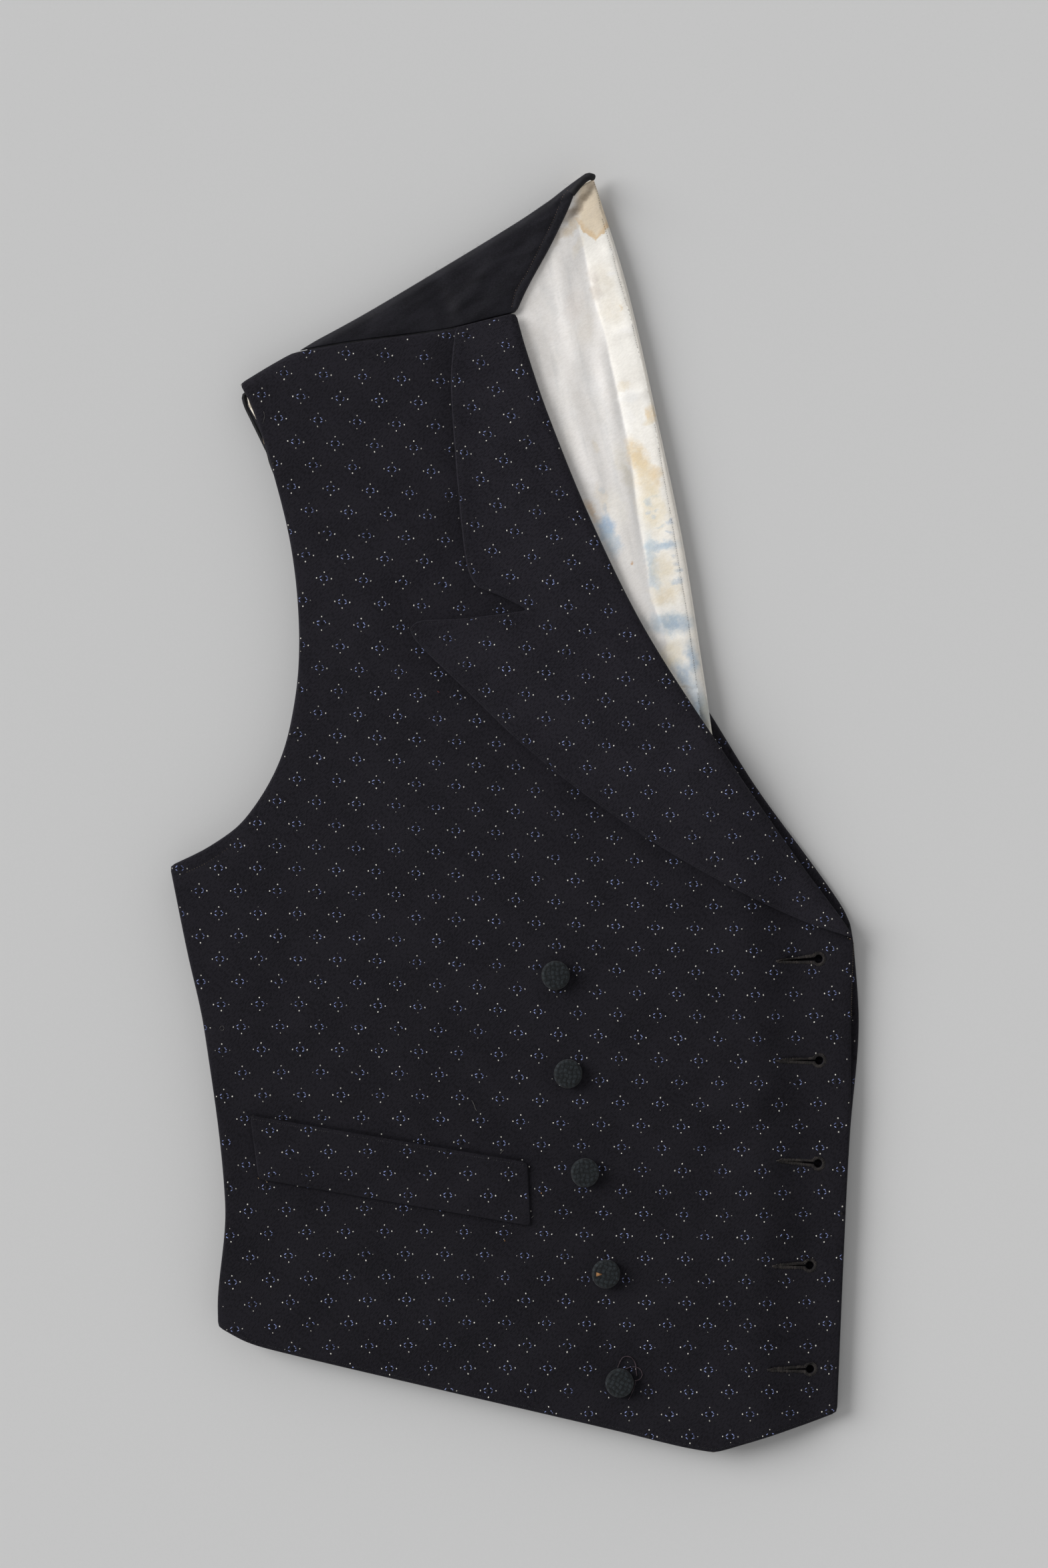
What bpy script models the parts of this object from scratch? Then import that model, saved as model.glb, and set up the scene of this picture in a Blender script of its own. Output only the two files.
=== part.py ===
"""A double-breasted wool waistcoat, folded in half along its centre back and laid flat.

The near front lies on top with its wool side up. Under it come the near back with its lining up,
the far back, and the far front with its wool side down. +Z is up, +Y runs towards the neck and
+X towards the front edges. Tables are in millimetres from the middle of the laid-out garment.
"""

import math

import bmesh
import bpy
import numpy as np
from mathutils.geometry import delaunay_2d_cdt

MM = 0.001

# Thickness of each stack of cloth, and the clearance between stacks
FAR_FRONT_THICK = 4.0
BACKS_THICK = 4.2
SHOULDER_THICK = 2.0
FRONT_THICK = 3.0
LAPEL_THICK = 2.0
WELT_THICK = 1.2
LAYER_GAP = 0.4
SEAM_GAP = 0.3

# How the layers fall away past the edge of what they lie on
LINING_FALL = 26.0
FRONT_FALL = 30.0
# The fold at the centre back springs this far off the table in the neck opening
FOLD_SPRING = 1.4

# Width and drop of a fold that wraps down over its own edge
SHOULDER_WRAP, SHOULDER_DROP = 4.0, 4.2
ROLL_WRAP, ROLL_DROP = 3.2, 2.4
# At the neck, and at the foot of the lapel, such a fold opens out over this length
FOLD_OPENS_OVER = 24.0

# How far a layer's edge lies inside the edge above it
RIDGE_INSET = 2.0
BACK_RIDGE_INSET = SHOULDER_WRAP + 0.8
PEAK_INSET = 0.5
HEM_INSET = 0.9
ARMHOLE_INSET = 1.2
ROLL_INSET = 3.0
LINING_TOP_INSET = 0.6
SEAM_INSET = 0.2

# Mesh spacing along the outlines, inside them, and of the rows beside a fold
EDGE_STEP = 11.0
HEM_STEP = 12.0
LONG_EDGE_STEP = 14.0
HIDDEN_STEP = 16.0
LINING_TOP_STEP = 6.0
WELT_STEP = 24.0
GRID_STEP = 28.0
GRID_MARGIN = 0.4 * GRID_STEP
ROW_MARGIN = 1.0
ROW_SPACING = 3.0
WRAP_ROW = -SHOULDER_WRAP - 0.2
ROLL_ROW = -ROLL_WRAP - 0.2
PAST_FOLD_ROWS = [0.0, -8.0, -16.0, -24.0, -32.0]
PAST_FAR_FRONT_ROWS = [-1.0, 8.0, 14.0, 20.0, 28.0]
SOFT_FOLD_ROWS = [-6.0, 0.0, 6.0]
# A bend sharper than this (its sine) is a corner, and keeps the depth of both its sides
CORNER_BEND = 0.35

# Corners where the edges of the garment meet: x, y
SHOULDER_TIP = (-137.2, 213.2)
SEAM_START = (-111.2, 228.6)
RIDGE_SPLIT = (17.0, 304.6)
NECK_PEAK = (37.3, 319.2)
NECK_TIP = (39.2, 315.8)
NECK_POINT = (0.5, 248.2)
COLLAR_START = (-29.6, 240.8)
NOTCH = (6.4, 100.1)
LAPEL_POINT = (-52.6, 91.0)
BREAK = (169.0, -63.2)
FRONT_CORNER = (160.8, -299.8)
HEM_POINT = (98.8, -319.2)
SIDE_CORNER = (-147.9, -256.6)
UNDERARM = (-171.9, -27.2)
FOLD_MEETS_ROLL = (98.8, 35.8)
FAR_ROLL_SHOWS = (97.7, 48.8)
LINING_FOOT = (101.8, 16.0)
FOLD_AT_HEM = (119.6, -311.0)

# Each edge runs between two corners through these points: x, y
RIDGE_AT_TIP = [(-123.5, 221.6)]
RIDGE_MIDDLE = [(-78.5, 246.2), (-38.5, 269.8), (1.5, 294.2)]
RIDGE_AT_NECK = [(26.5, 311.8)]
SHOULDER_SEAM = [(-82.8, 233.5), (-41.8, 238.8), (-29.6, 240.8), (-12.2, 245.2)]
BACK_NECK = [(35.5, 313.8), (30.5, 309.5), (27.2, 301.2), (17.5, 281.2), (6.5, 261.2)]
ROLL_LINE = [
    (5.2, 231.2), (16.5, 197.8), (38.2, 144.5), (64.5, 91.2), (99.8, 35.8), (142.5, -25.8), (163.0, -53.5),
]
COLLAR_EDGE = [(-31.8, 215.5), (-29.5, 174.8), (-25.5, 132.5), (-22.8, 118.5), (-18.6, 111.8), (-6.5, 106.8)]
COLLAR_SEAM = [(-12.2, 245.2), (-3.0, 247.4)]
LAPEL_TOP = [(-6.5, 98.2), (-27.7, 95.8), (-48.5, 94.6)]
LAPEL_EDGE = [(-49.6, 85.0), (-31.8, 67.5), (8.5, 29.2), (57.5, -7.8), (99.8, -33.5), (142.5, -54.2)]
FRONT_EDGE = [(167.9, -95.0), (167.6, -140.0), (166.4, -170.0), (163.2, -242.2)]
HEM_FRONT = [(143.5, -306.2), (104.5, -318.0)]
HEM_SIDE = [(83.2, -316.4), (49.8, -308.2), (-43.5, -286.5), (-115.5, -269.5), (-133.5, -264.3)]
SIDE_SEAM = [(-148.0, -242.0), (-144.4, -195.0), (-154.8, -108.8), (-163.5, -68.8)]
ARMHOLE = [(-151.6, -17.0), (-134.5, -3.6), (-117.5, 24.5), (-109.4, 57.0),
           (-107.6, 91.2), (-111.5, 131.2), (-121.2, 171.2), (-131.5, 202.5), (-135.0, 209.1)]
FOLD_LINE = [(55.3, 264.5), (70.7, 197.8), (84.5, 131.2), (94.8, 64.5)]
HIDDEN_FOLD = [(109.5, -45.0), (117.2, -162.2)]
HIDDEN_SPLIT = [(72.0, 58.0), (42.0, 112.0), (18.0, 168.0), (0.0, 215.0), (-7.0, 244.0), (-1.0, 270.0)]
LINING_TOP = [(26.0, 301.2), (33.2, 309.0)]
BACK_ARMHOLE = [
    (-118.0, 150.0), (-114.0, 131.2), (-110.3, 91.2), (-112.3, 57.0), (-121.0, 22.0), (-138.0, -7.0),
]
ARMHOLE_STRIP = [(-135.6, 203.5), (-131.5, 194.5), (-127.2, 185.7)]
FAR_NECK = [
    (15.5, 281.0), (5.0, 261.2), (1.8, 248.0), (8.6, 228.0), (21.5, 195.0), (43.5, 142.0), (70.0, 90.0),
]
FAR_ROLL = [(121.2, 11.2), (150.5, -28.8), (163.8, -48.0)]
FAR_EDGE = [(169.6, -68.8), (171.9, -108.8), (167.5, -162.2), (163.4, -242.2)]
FAR_PEAK = (30.5, 310.5)
FAR_BREAK = (167.8, -56.5)
STRIP_END = (-123.8, 178.7)

# Hem and side of the hidden backs, just inside the near front's
BACK_HEM_POINT = (83.2, -312.5)
BACK_SIDE_CORNER = (-144.5, -254.0)
BACK_UNDERARM = (-168.5, -28.5)
BACK_HEM_FRONT = [(98.0, -314.5)]
BACK_HEM_SIDE = [(-43.5, -282.5), (-115.5, -265.5)]
BACK_SIDE_SEAM = [(-141.4, -195.0), (-151.8, -108.8)]

# Soft ridges in the cloth: ends x, y, then height and half width
FOLDS = [
    # x1, y1, x2, y2, height, half_width
    (33.0, 285.0, 53.0, 198.0, 0.9, 7.0),
    (53.0, 198.0, 67.5, 106.0, 0.9, 7.0),
]

# Edge of a stack of cloth: share of the thickness, and depth inside the outline
ROUND_EDGE = [(0.0, 0.7), (0.3, 0.0), (0.7, 0.0), (1.0, 0.7)]
FLAT_FOOT_EDGE = [(0.0, 0.3), (0.25, 0.0), (0.7, 0.0), (1.0, 0.8)]
LAYERED_EDGE = [(0.0, 0.7), (0.18, 0.0), (0.4, 0.0), (0.5, 1.0), (0.6, 0.0), (0.82, 0.0), (1.0, 0.7)]

# Patch pocket welt, its corners from the top left clockwise
WELT_CORNERS = [(-131.8, -151.2), (6.2, -174.5), (7.8, -206.2), (-127.6, -182.8)]

BUTTON_PLACES = [(20.2, -81.4), (26.4, -130.3), (34.8, -179.5), (45.2, -229.8), (52.0, -284.0)]
BUTTON_RADIUS = 7.1
BUTTON_HEIGHT = 4.4
# Button profile from its crown down: share of the radius, share of the height
BUTTON_PROFILE = [
    (0.0, 1.0), (0.55, 0.96), (0.86, 0.82), (1.0, 0.58), (0.95, 0.38), (0.6, 0.26),
    (0.3, 0.2), (0.3, 0.0), (0.0, 0.0),
]
BUTTON_SIDES = 20
MERGE_DISTANCE = 0.00001

# Keyhole buttonholes: tip of the slit, then centre of the eye
BUTTONHOLES = [
    # tip_x, tip_y, eye_x, eye_y
    (131.2, -74.5, 151.5, -73.5),
    (131.8, -124.2, 151.8, -124.2),
    (131.7, -173.8, 151.2, -175.5),
    (129.2, -226.3, 147.0, -226.3),
    (126.8, -277.8, 147.2, -278.0),
]
EYE_RADIUS = 1.9
SLIT_WIDTH = 1.1
EYE_SIDES = 10
CUTTER_HEIGHT = 20.0


def curve_through(points, step=EDGE_STEP):
    """Points about a step apart along a smooth curve through the given ones."""
    points = [np.array(p, float) for p in points]
    ends = [2 * points[0] - points[1], *points, 2 * points[-1] - points[-2]]
    lengths = [np.linalg.norm(b - a) for a, b in zip(ends, ends[1:])]
    found = [points[0]]
    for i in range(1, len(ends) - 2):
        before, here, after = lengths[i - 1 : i + 2]
        start, end = ends[i], ends[i + 1]
        leave = (end - ends[i - 1]) / (before + here) * here
        arrive = (ends[i + 2] - start) / (here + after) * here
        count = max(1, round(here / step))
        for k in range(1, count + 1):
            t = k / count
            found.append(
                (2 * t**3 - 3 * t**2 + 1) * start
                + (t**3 - 2 * t**2 + t) * leave
                + (3 * t**2 - 2 * t**3) * end
                + (t**3 - t**2) * arrive
            )
    return np.array(found)


def edge(start, between, end, step=EDGE_STEP):
    return curve_through([start, *between, end], step)


def pulled_in(loop, depths):
    """A closed loop, counterclockwise, moved inwards. Each side has its own depth."""
    moved = []
    for i, here in enumerate(loop):
        normals = []
        for a, b in ((loop[i - 1], here), (here, loop[(i + 1) % len(loop)])):
            along = (b - a) / np.linalg.norm(b - a)
            normals.append(np.array([-along[1], along[0]]))
        depth_in, depth_out = depths[i - 1], depths[i]
        turn = normals[0][0] * normals[1][1] - normals[0][1] * normals[1][0]
        if abs(turn) > CORNER_BEND:
            shift = np.linalg.solve(np.array(normals), [depth_in, depth_out])
        else:
            middle = normals[0] + normals[1]
            middle = middle / np.linalg.norm(middle)
            shift = middle * (depth_in + depth_out) / 2
        moved.append(here + shift)
    return np.array(moved)


def outline(sides):
    """A closed counterclockwise outline from (edge, depth) pairs that run round it."""
    points, depths = [], []
    for side, depth in sides:
        points.extend(side[:-1])
        depths.extend([depth] * (len(side) - 1))
    points = np.array(points)
    after = np.roll(points, -1, axis=0)
    if (points[:, 0] * after[:, 1] - points[:, 1] * after[:, 0]).sum() < 0:
        points = points[::-1]
        depths = depths[-2::-1] + depths[-1:]
    return pulled_in(points, depths)


def inside(loop, x, y):
    crossings = np.zeros(np.shape(x), int)
    for (x1, y1), (x2, y2) in zip(loop, np.roll(loop, -1, axis=0)):
        if y1 != y2:
            where = (y1 > y) != (y2 > y)
            crossings += where & (x < (x2 - x1) * (y - y1) / (y2 - y1) + x1)
    return crossings % 2 == 1


def distance(line, x, y):
    """Distance from each (x, y) to an open or closed run of points."""
    nearest = np.full(np.shape(x), np.inf)
    for (x1, y1), (x2, y2) in zip(line, line[1:]):
        length = (x2 - x1) ** 2 + (y2 - y1) ** 2
        t = np.clip(((x - x1) * (x2 - x1) + (y - y1) * (y2 - y1)) / length, 0, 1)
        nearest = np.minimum(nearest, np.hypot(x - x1 - t * (x2 - x1), y - y1 - t * (y2 - y1)))
    return nearest


def ease(t):
    t = np.clip(t, 0, 1)
    return t * t * (3 - 2 * t)


def across(line, y):
    """x of a line that runs steadily up or down, at height y."""
    order = np.argsort(line[:, 1])
    return np.interp(y, line[order, 1], line[order, 0])


def beside(line, offset):
    """The line moved sideways, to its left where the offset is positive."""
    along = np.gradient(line, axis=0)
    along /= np.linalg.norm(along, axis=1)[:, None]
    return line + offset * np.stack([-along[:, 1], along[:, 0]], axis=1)


def edges_of_garment():
    """Every named edge as a smooth run of points, worked out once."""
    ridge_tip = edge(SHOULDER_TIP, RIDGE_AT_TIP, SEAM_START)
    ridge = edge(SEAM_START, RIDGE_MIDDLE, RIDGE_SPLIT)
    back_ridge = beside(np.vstack([ridge_tip[:-1], ridge]), -BACK_RIDGE_INSET)
    return {
        "ridge_tip": ridge_tip,
        "ridge": ridge,
        "back_ridge": back_ridge[1:],
        "ridge_neck": edge(RIDGE_SPLIT, RIDGE_AT_NECK, NECK_PEAK),
        "neck_end": edge(NECK_PEAK, [], NECK_TIP),
        "back_neck": edge(NECK_TIP, BACK_NECK, NECK_POINT),
        "seam": edge(NECK_POINT, SHOULDER_SEAM[::-1], SEAM_START),
        "roll": edge(NECK_POINT, ROLL_LINE, BREAK),
        "lapel_edge": edge(BREAK, LAPEL_EDGE[::-1], LAPEL_POINT),
        "lapel_top": edge(LAPEL_POINT, LAPEL_TOP[::-1], NOTCH),
        "collar_edge": edge(NOTCH, COLLAR_EDGE[::-1], COLLAR_START),
        "collar_seam": edge(COLLAR_START, COLLAR_SEAM, NECK_POINT),
        "front_edge": edge(BREAK, FRONT_EDGE, FRONT_CORNER, LONG_EDGE_STEP),
        "hem_front": edge(FRONT_CORNER, HEM_FRONT, HEM_POINT),
        "hem_side": edge(HEM_POINT, HEM_SIDE, SIDE_CORNER, HEM_STEP),
        "side": edge(SIDE_CORNER, SIDE_SEAM, UNDERARM, HEM_STEP),
        "armhole": edge(UNDERARM, ARMHOLE, SHOULDER_TIP),
        "fold": edge(NECK_TIP, FOLD_LINE, FOLD_MEETS_ROLL),
        "fold_foot": edge(FOLD_MEETS_ROLL, [], LINING_FOOT),
        "hidden_fold": edge(LINING_FOOT, HIDDEN_FOLD, FOLD_AT_HEM, HIDDEN_STEP),
        "split": edge(LINING_FOOT, HIDDEN_SPLIT, back_ridge[-1], HEM_STEP),
        "strip": edge(SHOULDER_TIP, ARMHOLE_STRIP, STRIP_END),
        "back_armhole": edge(STRIP_END, BACK_ARMHOLE, BACK_UNDERARM, HEM_STEP),
        "back_hem_front": edge(FOLD_AT_HEM, BACK_HEM_FRONT, BACK_HEM_POINT),
        "back_hem_side": edge(BACK_HEM_POINT, BACK_HEM_SIDE, BACK_SIDE_CORNER, LONG_EDGE_STEP),
        "back_side": edge(BACK_SIDE_CORNER, BACK_SIDE_SEAM, BACK_UNDERARM, LONG_EDGE_STEP),
        "far_ridge": edge(RIDGE_SPLIT, [], FAR_PEAK),
        "far_neck": edge(FAR_PEAK, FAR_NECK, FAR_ROLL_SHOWS),
        "far_roll": edge(FAR_ROLL_SHOWS, FAR_ROLL, FAR_BREAK),
        "far_edge": edge(FAR_BREAK, FAR_EDGE, FRONT_CORNER, LONG_EDGE_STEP),
    }


EDGES = edges_of_garment()
RIDGE = np.vstack([EDGES["ridge_tip"], EDGES["ridge"][1:], EDGES["ridge_neck"][1:]])
FAR_INNER = np.vstack([EDGES["far_neck"], EDGES["far_roll"], EDGES["far_edge"]])
WHOLE_FOLD = np.vstack([EDGES["fold"][:-1], EDGES["fold_foot"][:-1], EDGES["hidden_fold"]])


def soft_folds(x, y):
    """Height of the soft ridges at (x, y)."""
    height = 0
    for x1, y1, x2, y2, rise, half_width in FOLDS:
        away = distance([(x1, y1), (x2, y2)], x, y)
        height = np.maximum(height, rise * (1 - ease(away / half_width)))
    return height


def far_front_floor(x, y):
    return np.zeros(np.shape(x))


def backs_floor(x, y):
    """The backs lie on the far front, and past its edge they fall towards the table."""
    past = ease((x - across(FAR_INNER, y) - 1) / LINING_FALL)
    lying = FAR_FRONT_THICK + LAYER_GAP
    return lying - (lying - FOLD_SPRING) * past


def backs_height(x, y):
    return BACKS_THICK + soft_folds(x, y)


def front_floor(x, y):
    """The near front lies on the backs, and past their fold it falls to the far front."""
    past = ease((x - across(WHOLE_FOLD, y) - 1) / FRONT_FALL)
    on_backs = (BACKS_THICK + LAYER_GAP) * (1 - past)
    return FAR_FRONT_THICK + LAYER_GAP + on_backs - shoulder_wrap(x, y)


def wrap(line, width, drop, x, y):
    """How far a fold drops beside the line that it wraps over."""
    return drop * (1 - np.clip(distance(line, x, y) / width, 0, 1))


def fold_depth(end, x, y):
    """How far a fold has closed, from 0 at its end to 1."""
    return ease(np.hypot(x - end[0], y - end[1]) / FOLD_OPENS_OVER)


def shoulder_wrap(x, y):
    return fold_depth(NECK_PEAK, x, y) * wrap(RIDGE, SHOULDER_WRAP, SHOULDER_DROP, x, y)


def lapel_floor(x, y):
    lying = front_floor(x, y) + FRONT_THICK + LAYER_GAP
    return lying - fold_depth(BREAK, x, y) * wrap(EDGES["roll"], ROLL_WRAP, ROLL_DROP, x, y)


def on_front(x, y):
    """Height at which a piece sewn on the near front lies."""
    return front_floor(x, y) + FRONT_THICK + SEAM_GAP


def even(thickness):
    return lambda x, y: np.full(np.shape(x), thickness)


def grid_inside(loop, step, margin):
    """Staggered points inside the loop and at least a margin from it. All loops share one grid."""
    row_step = step * math.sqrt(3) / 2
    low, high = loop.min(axis=0), loop.max(axis=0)
    points = []
    for row in range(math.floor(low[1] / row_step), math.ceil(high[1] / row_step) + 1):
        columns = np.arange(math.floor(low[0] / step), math.ceil(high[0] / step) + 1)
        x = (columns + row % 2 / 2) * step
        points.append(np.stack([x, np.full(len(x), row * row_step)], axis=1))
    return kept_inside(loop, np.vstack(points), margin)


def kept_inside(loop, points, margin):
    closed = np.vstack([loop, loop[:1]])
    x, y = points.T
    return points[inside(loop, x, y) & (distance(closed, x, y) > margin)]


def rows_beside(line, offsets):
    return np.vstack([beside(line, offset) for offset in offsets])


def thinned(fixed, points, nearest):
    """The points that are no nearer than this to a fixed one or to each other."""
    kept = list(fixed)
    for p in points:
        if not kept or np.hypot(*(np.array(kept) - p).T).min() >= nearest:
            kept.append(p)
    return np.array(kept[len(fixed) :]).reshape(-1, 2)


def triangles(loop, inner):
    """Faces that fill the loop, as indices into loop points followed by inner ones."""
    points = [tuple(p) for p in np.vstack([loop, inner])]
    made = delaunay_2d_cdt(points, [], [list(range(len(loop)))], 1, 1e-6)
    source = [given[0] for given in made[3]]
    faces = []
    for face in made[2]:
        a, b, c = (source[i] for i in face)
        pa, pb, pc = (np.array(points[i]) for i in (a, b, c))
        area = (pb[0] - pa[0]) * (pc[1] - pa[1]) - (pb[1] - pa[1]) * (pc[0] - pa[0])
        faces.append((a, b, c) if area > 0 else (a, c, b))
    return faces


def add_object(name, mesh, material, collection):
    obj = bpy.data.objects.new(name, mesh)
    mesh.materials.append(material)
    collection.objects.link(obj)
    return obj


def add_stack(name, loop, floor, height, material, collection, profile=ROUND_EDGE, rows=None):
    """A closed body of cloth over the loop, from its floor up through its height."""
    inner = grid_inside(loop, GRID_STEP, GRID_MARGIN)
    if rows is not None:
        close = thinned([], kept_inside(loop, rows, ROW_MARGIN), ROW_SPACING)
        inner = np.vstack([close, thinned(close, inner, GRID_MARGIN)])
    points, count = [], len(loop)
    for share, depth in profile:
        ring = pulled_in(loop, [depth] * count)
        x, y = ring.T
        points.append(np.column_stack([x, y, floor(x, y) + share * height(x, y)]))
    bottom, top = points[0][:, :2], points[-1][:, :2]
    x, y = inner.T
    first_inner = len(profile) * count
    points.append(np.column_stack([x, y, floor(x, y)]))
    points.append(np.column_stack([x, y, floor(x, y) + height(x, y)]))
    faces = []
    for ring in range(len(profile) - 1):
        for i in range(count):
            j = (i + 1) % count
            low, high = ring * count, (ring + 1) * count
            faces.append((low + i, low + j, high + j, high + i))
    for face in triangles(bottom, inner):
        faces.append([i if i < count else first_inner + i - count for i in face][::-1])
    for face in triangles(top, inner):
        last = (len(profile) - 1) * count
        above = first_inner + len(inner)
        faces.append([last + i if i < count else above + i - count for i in face])
    mesh = bpy.data.meshes.new(name)
    mesh.from_pydata(np.vstack(points) * MM, [], faces)
    return add_object(name, mesh, material, collection)


def cloth(name, colour, roughness):
    material = bpy.data.materials.new(name)
    material.use_nodes = True
    shader = material.node_tree.nodes["Principled BSDF"]
    shader.inputs["Base Color"].default_value = (*colour, 1)
    shader.inputs["Roughness"].default_value = roughness
    shader.inputs["Metallic"].default_value = 0
    return material


def add_far_front(material, collection):
    loop = outline([
        (EDGES["ridge_tip"], RIDGE_INSET), (EDGES["ridge"], RIDGE_INSET), (EDGES["far_ridge"], PEAK_INSET),
        (EDGES["far_neck"], 0.0), (EDGES["far_roll"], 0.0), (EDGES["far_edge"], 0.0),
        (EDGES["hem_front"], HEM_INSET), (EDGES["hem_side"], HEM_INSET), (EDGES["side"], HEM_INSET),
        (EDGES["armhole"], ARMHOLE_INSET),
    ])
    add_stack("far_front", loop, far_front_floor, even(FAR_FRONT_THICK), material, collection, FLAT_FOOT_EDGE)


def add_folded_back(material, collection):
    loop = outline([
        (EDGES["back_ridge"], 0.0), (EDGES["split"][::-1], SEAM_GAP), (EDGES["hidden_fold"], SEAM_GAP),
        (EDGES["back_hem_front"], 0.0), (EDGES["back_hem_side"], 0.0), (EDGES["back_side"], 0.0),
        (EDGES["back_armhole"][::-1], 0.0), (EDGES["strip"][:0:-1], 0.0),
        (np.array([EDGES["strip"][1], EDGES["back_ridge"][0]]), 0.0),
    ])
    add_stack("folded_back", loop, backs_floor, backs_height, material, collection, LAYERED_EDGE)


def add_back_lining(material, collection):
    top = edge(EDGES["split"][-1], LINING_TOP, NECK_TIP, LINING_TOP_STEP)
    loop = outline([
        (top, LINING_TOP_INSET), (EDGES["fold"], 0.0), (EDGES["fold_foot"], 0.0), (EDGES["split"], 0.0),
    ])
    past_far_front = rows_beside(curve_through(EDGES["far_neck"], HIDDEN_STEP), PAST_FAR_FRONT_ROWS)
    folds = np.vstack([
        rows_beside(curve_through([(x1, y1), (x2, y2)], HEM_STEP), SOFT_FOLD_ROWS)
        for x1, y1, x2, y2, rise, half_width in FOLDS
    ])
    rows = np.vstack([folds, past_far_front])
    add_stack("back_lining", loop, backs_floor, backs_height, material, collection, ROUND_EDGE, rows)


def add_back_shoulder(material, collection):
    loop = outline([
        (EDGES["ridge"], 0.0), (EDGES["ridge_neck"], 0.0), (EDGES["neck_end"], 0.0),
        (EDGES["back_neck"], 0.0), (EDGES["seam"], SEAM_INSET),
    ])
    rows = rows_beside(RIDGE, [WRAP_ROW])
    thick = even(SHOULDER_THICK)
    add_stack("back_shoulder", loop, shoulder_floor, thick, material, collection, ROUND_EDGE, rows)


def shoulder_floor(x, y):
    lying = backs_floor(x, y) + backs_height(x, y) + LAYER_GAP
    return lying - shoulder_wrap(x, y)


def rows_past_fold():
    """Points where the near front falls from the backs to the far front."""
    hidden = np.vstack([EDGES["fold_foot"][:-1], EDGES["hidden_fold"]])
    return rows_beside(hidden, PAST_FOLD_ROWS)


def add_front_panel(material, collection, cutters):
    loop = outline([
        (EDGES["ridge_tip"], 0.0), (EDGES["seam"][::-1], SEAM_INSET), (EDGES["roll"], ROLL_INSET),
        (EDGES["front_edge"], 0.0), (EDGES["hem_front"], 0.0), (EDGES["hem_side"], 0.0),
        (EDGES["side"], 0.0), (EDGES["armhole"], 0.0),
    ])
    rows = np.vstack([rows_beside(RIDGE, [WRAP_ROW]), EDGES["lapel_edge"], rows_past_fold()])
    thick = even(FRONT_THICK)
    front = add_stack("front_panel", loop, front_floor, thick, material, collection, ROUND_EDGE, rows)
    cut = front.modifiers.new("buttonholes", "BOOLEAN")
    cut.operation = "DIFFERENCE"
    cut.operand_type = "COLLECTION"
    cut.collection = cutters


def add_collar_lapel(material, collection):
    loop = outline([
        (EDGES["roll"], 0.0), (EDGES["lapel_edge"], 0.0), (EDGES["lapel_top"], 0.0),
        (EDGES["collar_edge"], 0.0), (EDGES["collar_seam"], SEAM_INSET),
    ])
    rows = np.vstack([rows_beside(EDGES["roll"], [ROLL_ROW]), rows_past_fold()])
    add_stack("collar_lapel", loop, lapel_floor, even(LAPEL_THICK), material, collection, ROUND_EDGE, rows)


def add_pocket_welt(material, collection):
    corners = [np.array(c) for c in WELT_CORNERS]
    sides = [(edge(a, [], b, WELT_STEP), 0.0) for a, b in zip(corners, corners[1:] + corners[:1])]
    add_stack("pocket_welt", outline(sides), on_front, even(WELT_THICK), material, collection)


def add_buttonhole_cutter(number, tip_x, tip_y, eye_x, eye_y, cutters):
    """A keyhole prism through every height of the near front."""
    turn = math.atan2(tip_y - eye_y, tip_x - eye_x)
    opening = math.asin(SLIT_WIDTH / 2 / EYE_RADIUS)
    half_tip = np.array([-math.sin(turn), math.cos(turn)]) * SLIT_WIDTH / 4
    ring = [(tip_x - half_tip[0], tip_y - half_tip[1])]
    for i in range(EYE_SIDES + 1):
        angle = turn - opening - i * (2 * math.pi - 2 * opening) / EYE_SIDES
        ring.append((eye_x + EYE_RADIUS * math.cos(angle), eye_y + EYE_RADIUS * math.sin(angle)))
    ring.append((tip_x + half_tip[0], tip_y + half_tip[1]))
    shape = bmesh.new()
    face = shape.faces.new([shape.verts.new((x * MM, y * MM, 0)) for x, y in ring])
    raised = bmesh.ops.extrude_face_region(shape, geom=[face])["geom"]
    top = [v for v in raised if isinstance(v, bmesh.types.BMVert)]
    bmesh.ops.translate(shape, verts=top, vec=(0, 0, CUTTER_HEIGHT * MM))
    bmesh.ops.recalc_face_normals(shape, faces=shape.faces)
    mesh = bpy.data.meshes.new(f"buttonhole_cutter_{number}")
    shape.to_mesh(mesh)
    shape.free()
    cutter = bpy.data.objects.new(mesh.name, mesh)
    cutter.hide_render = True
    cutter.display_type = "WIRE"
    cutters.objects.link(cutter)


def add_button(number, x, y, material, collection):
    """A turned button on its short shank, sewn down on the near front."""
    profile = [(share_r * BUTTON_RADIUS, share_h * BUTTON_HEIGHT) for share_r, share_h in BUTTON_PROFILE]
    mesh = bpy.data.meshes.new(f"button_{number}")
    points = [(r * MM, 0, z * MM) for r, z in profile]
    mesh.from_pydata(points, [(i, i + 1) for i in range(len(points) - 1)], [])
    button = add_object(mesh.name, mesh, material, collection)
    button.location = (x * MM, y * MM, float(on_front(np.array(x), np.array(y))) * MM)
    turned = button.modifiers.new("turned", "SCREW")
    turned.steps = turned.render_steps = BUTTON_SIDES
    turned.use_merge_vertices = True
    turned.merge_threshold = MERGE_DISTANCE
    turned.use_smooth_shade = True


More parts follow.
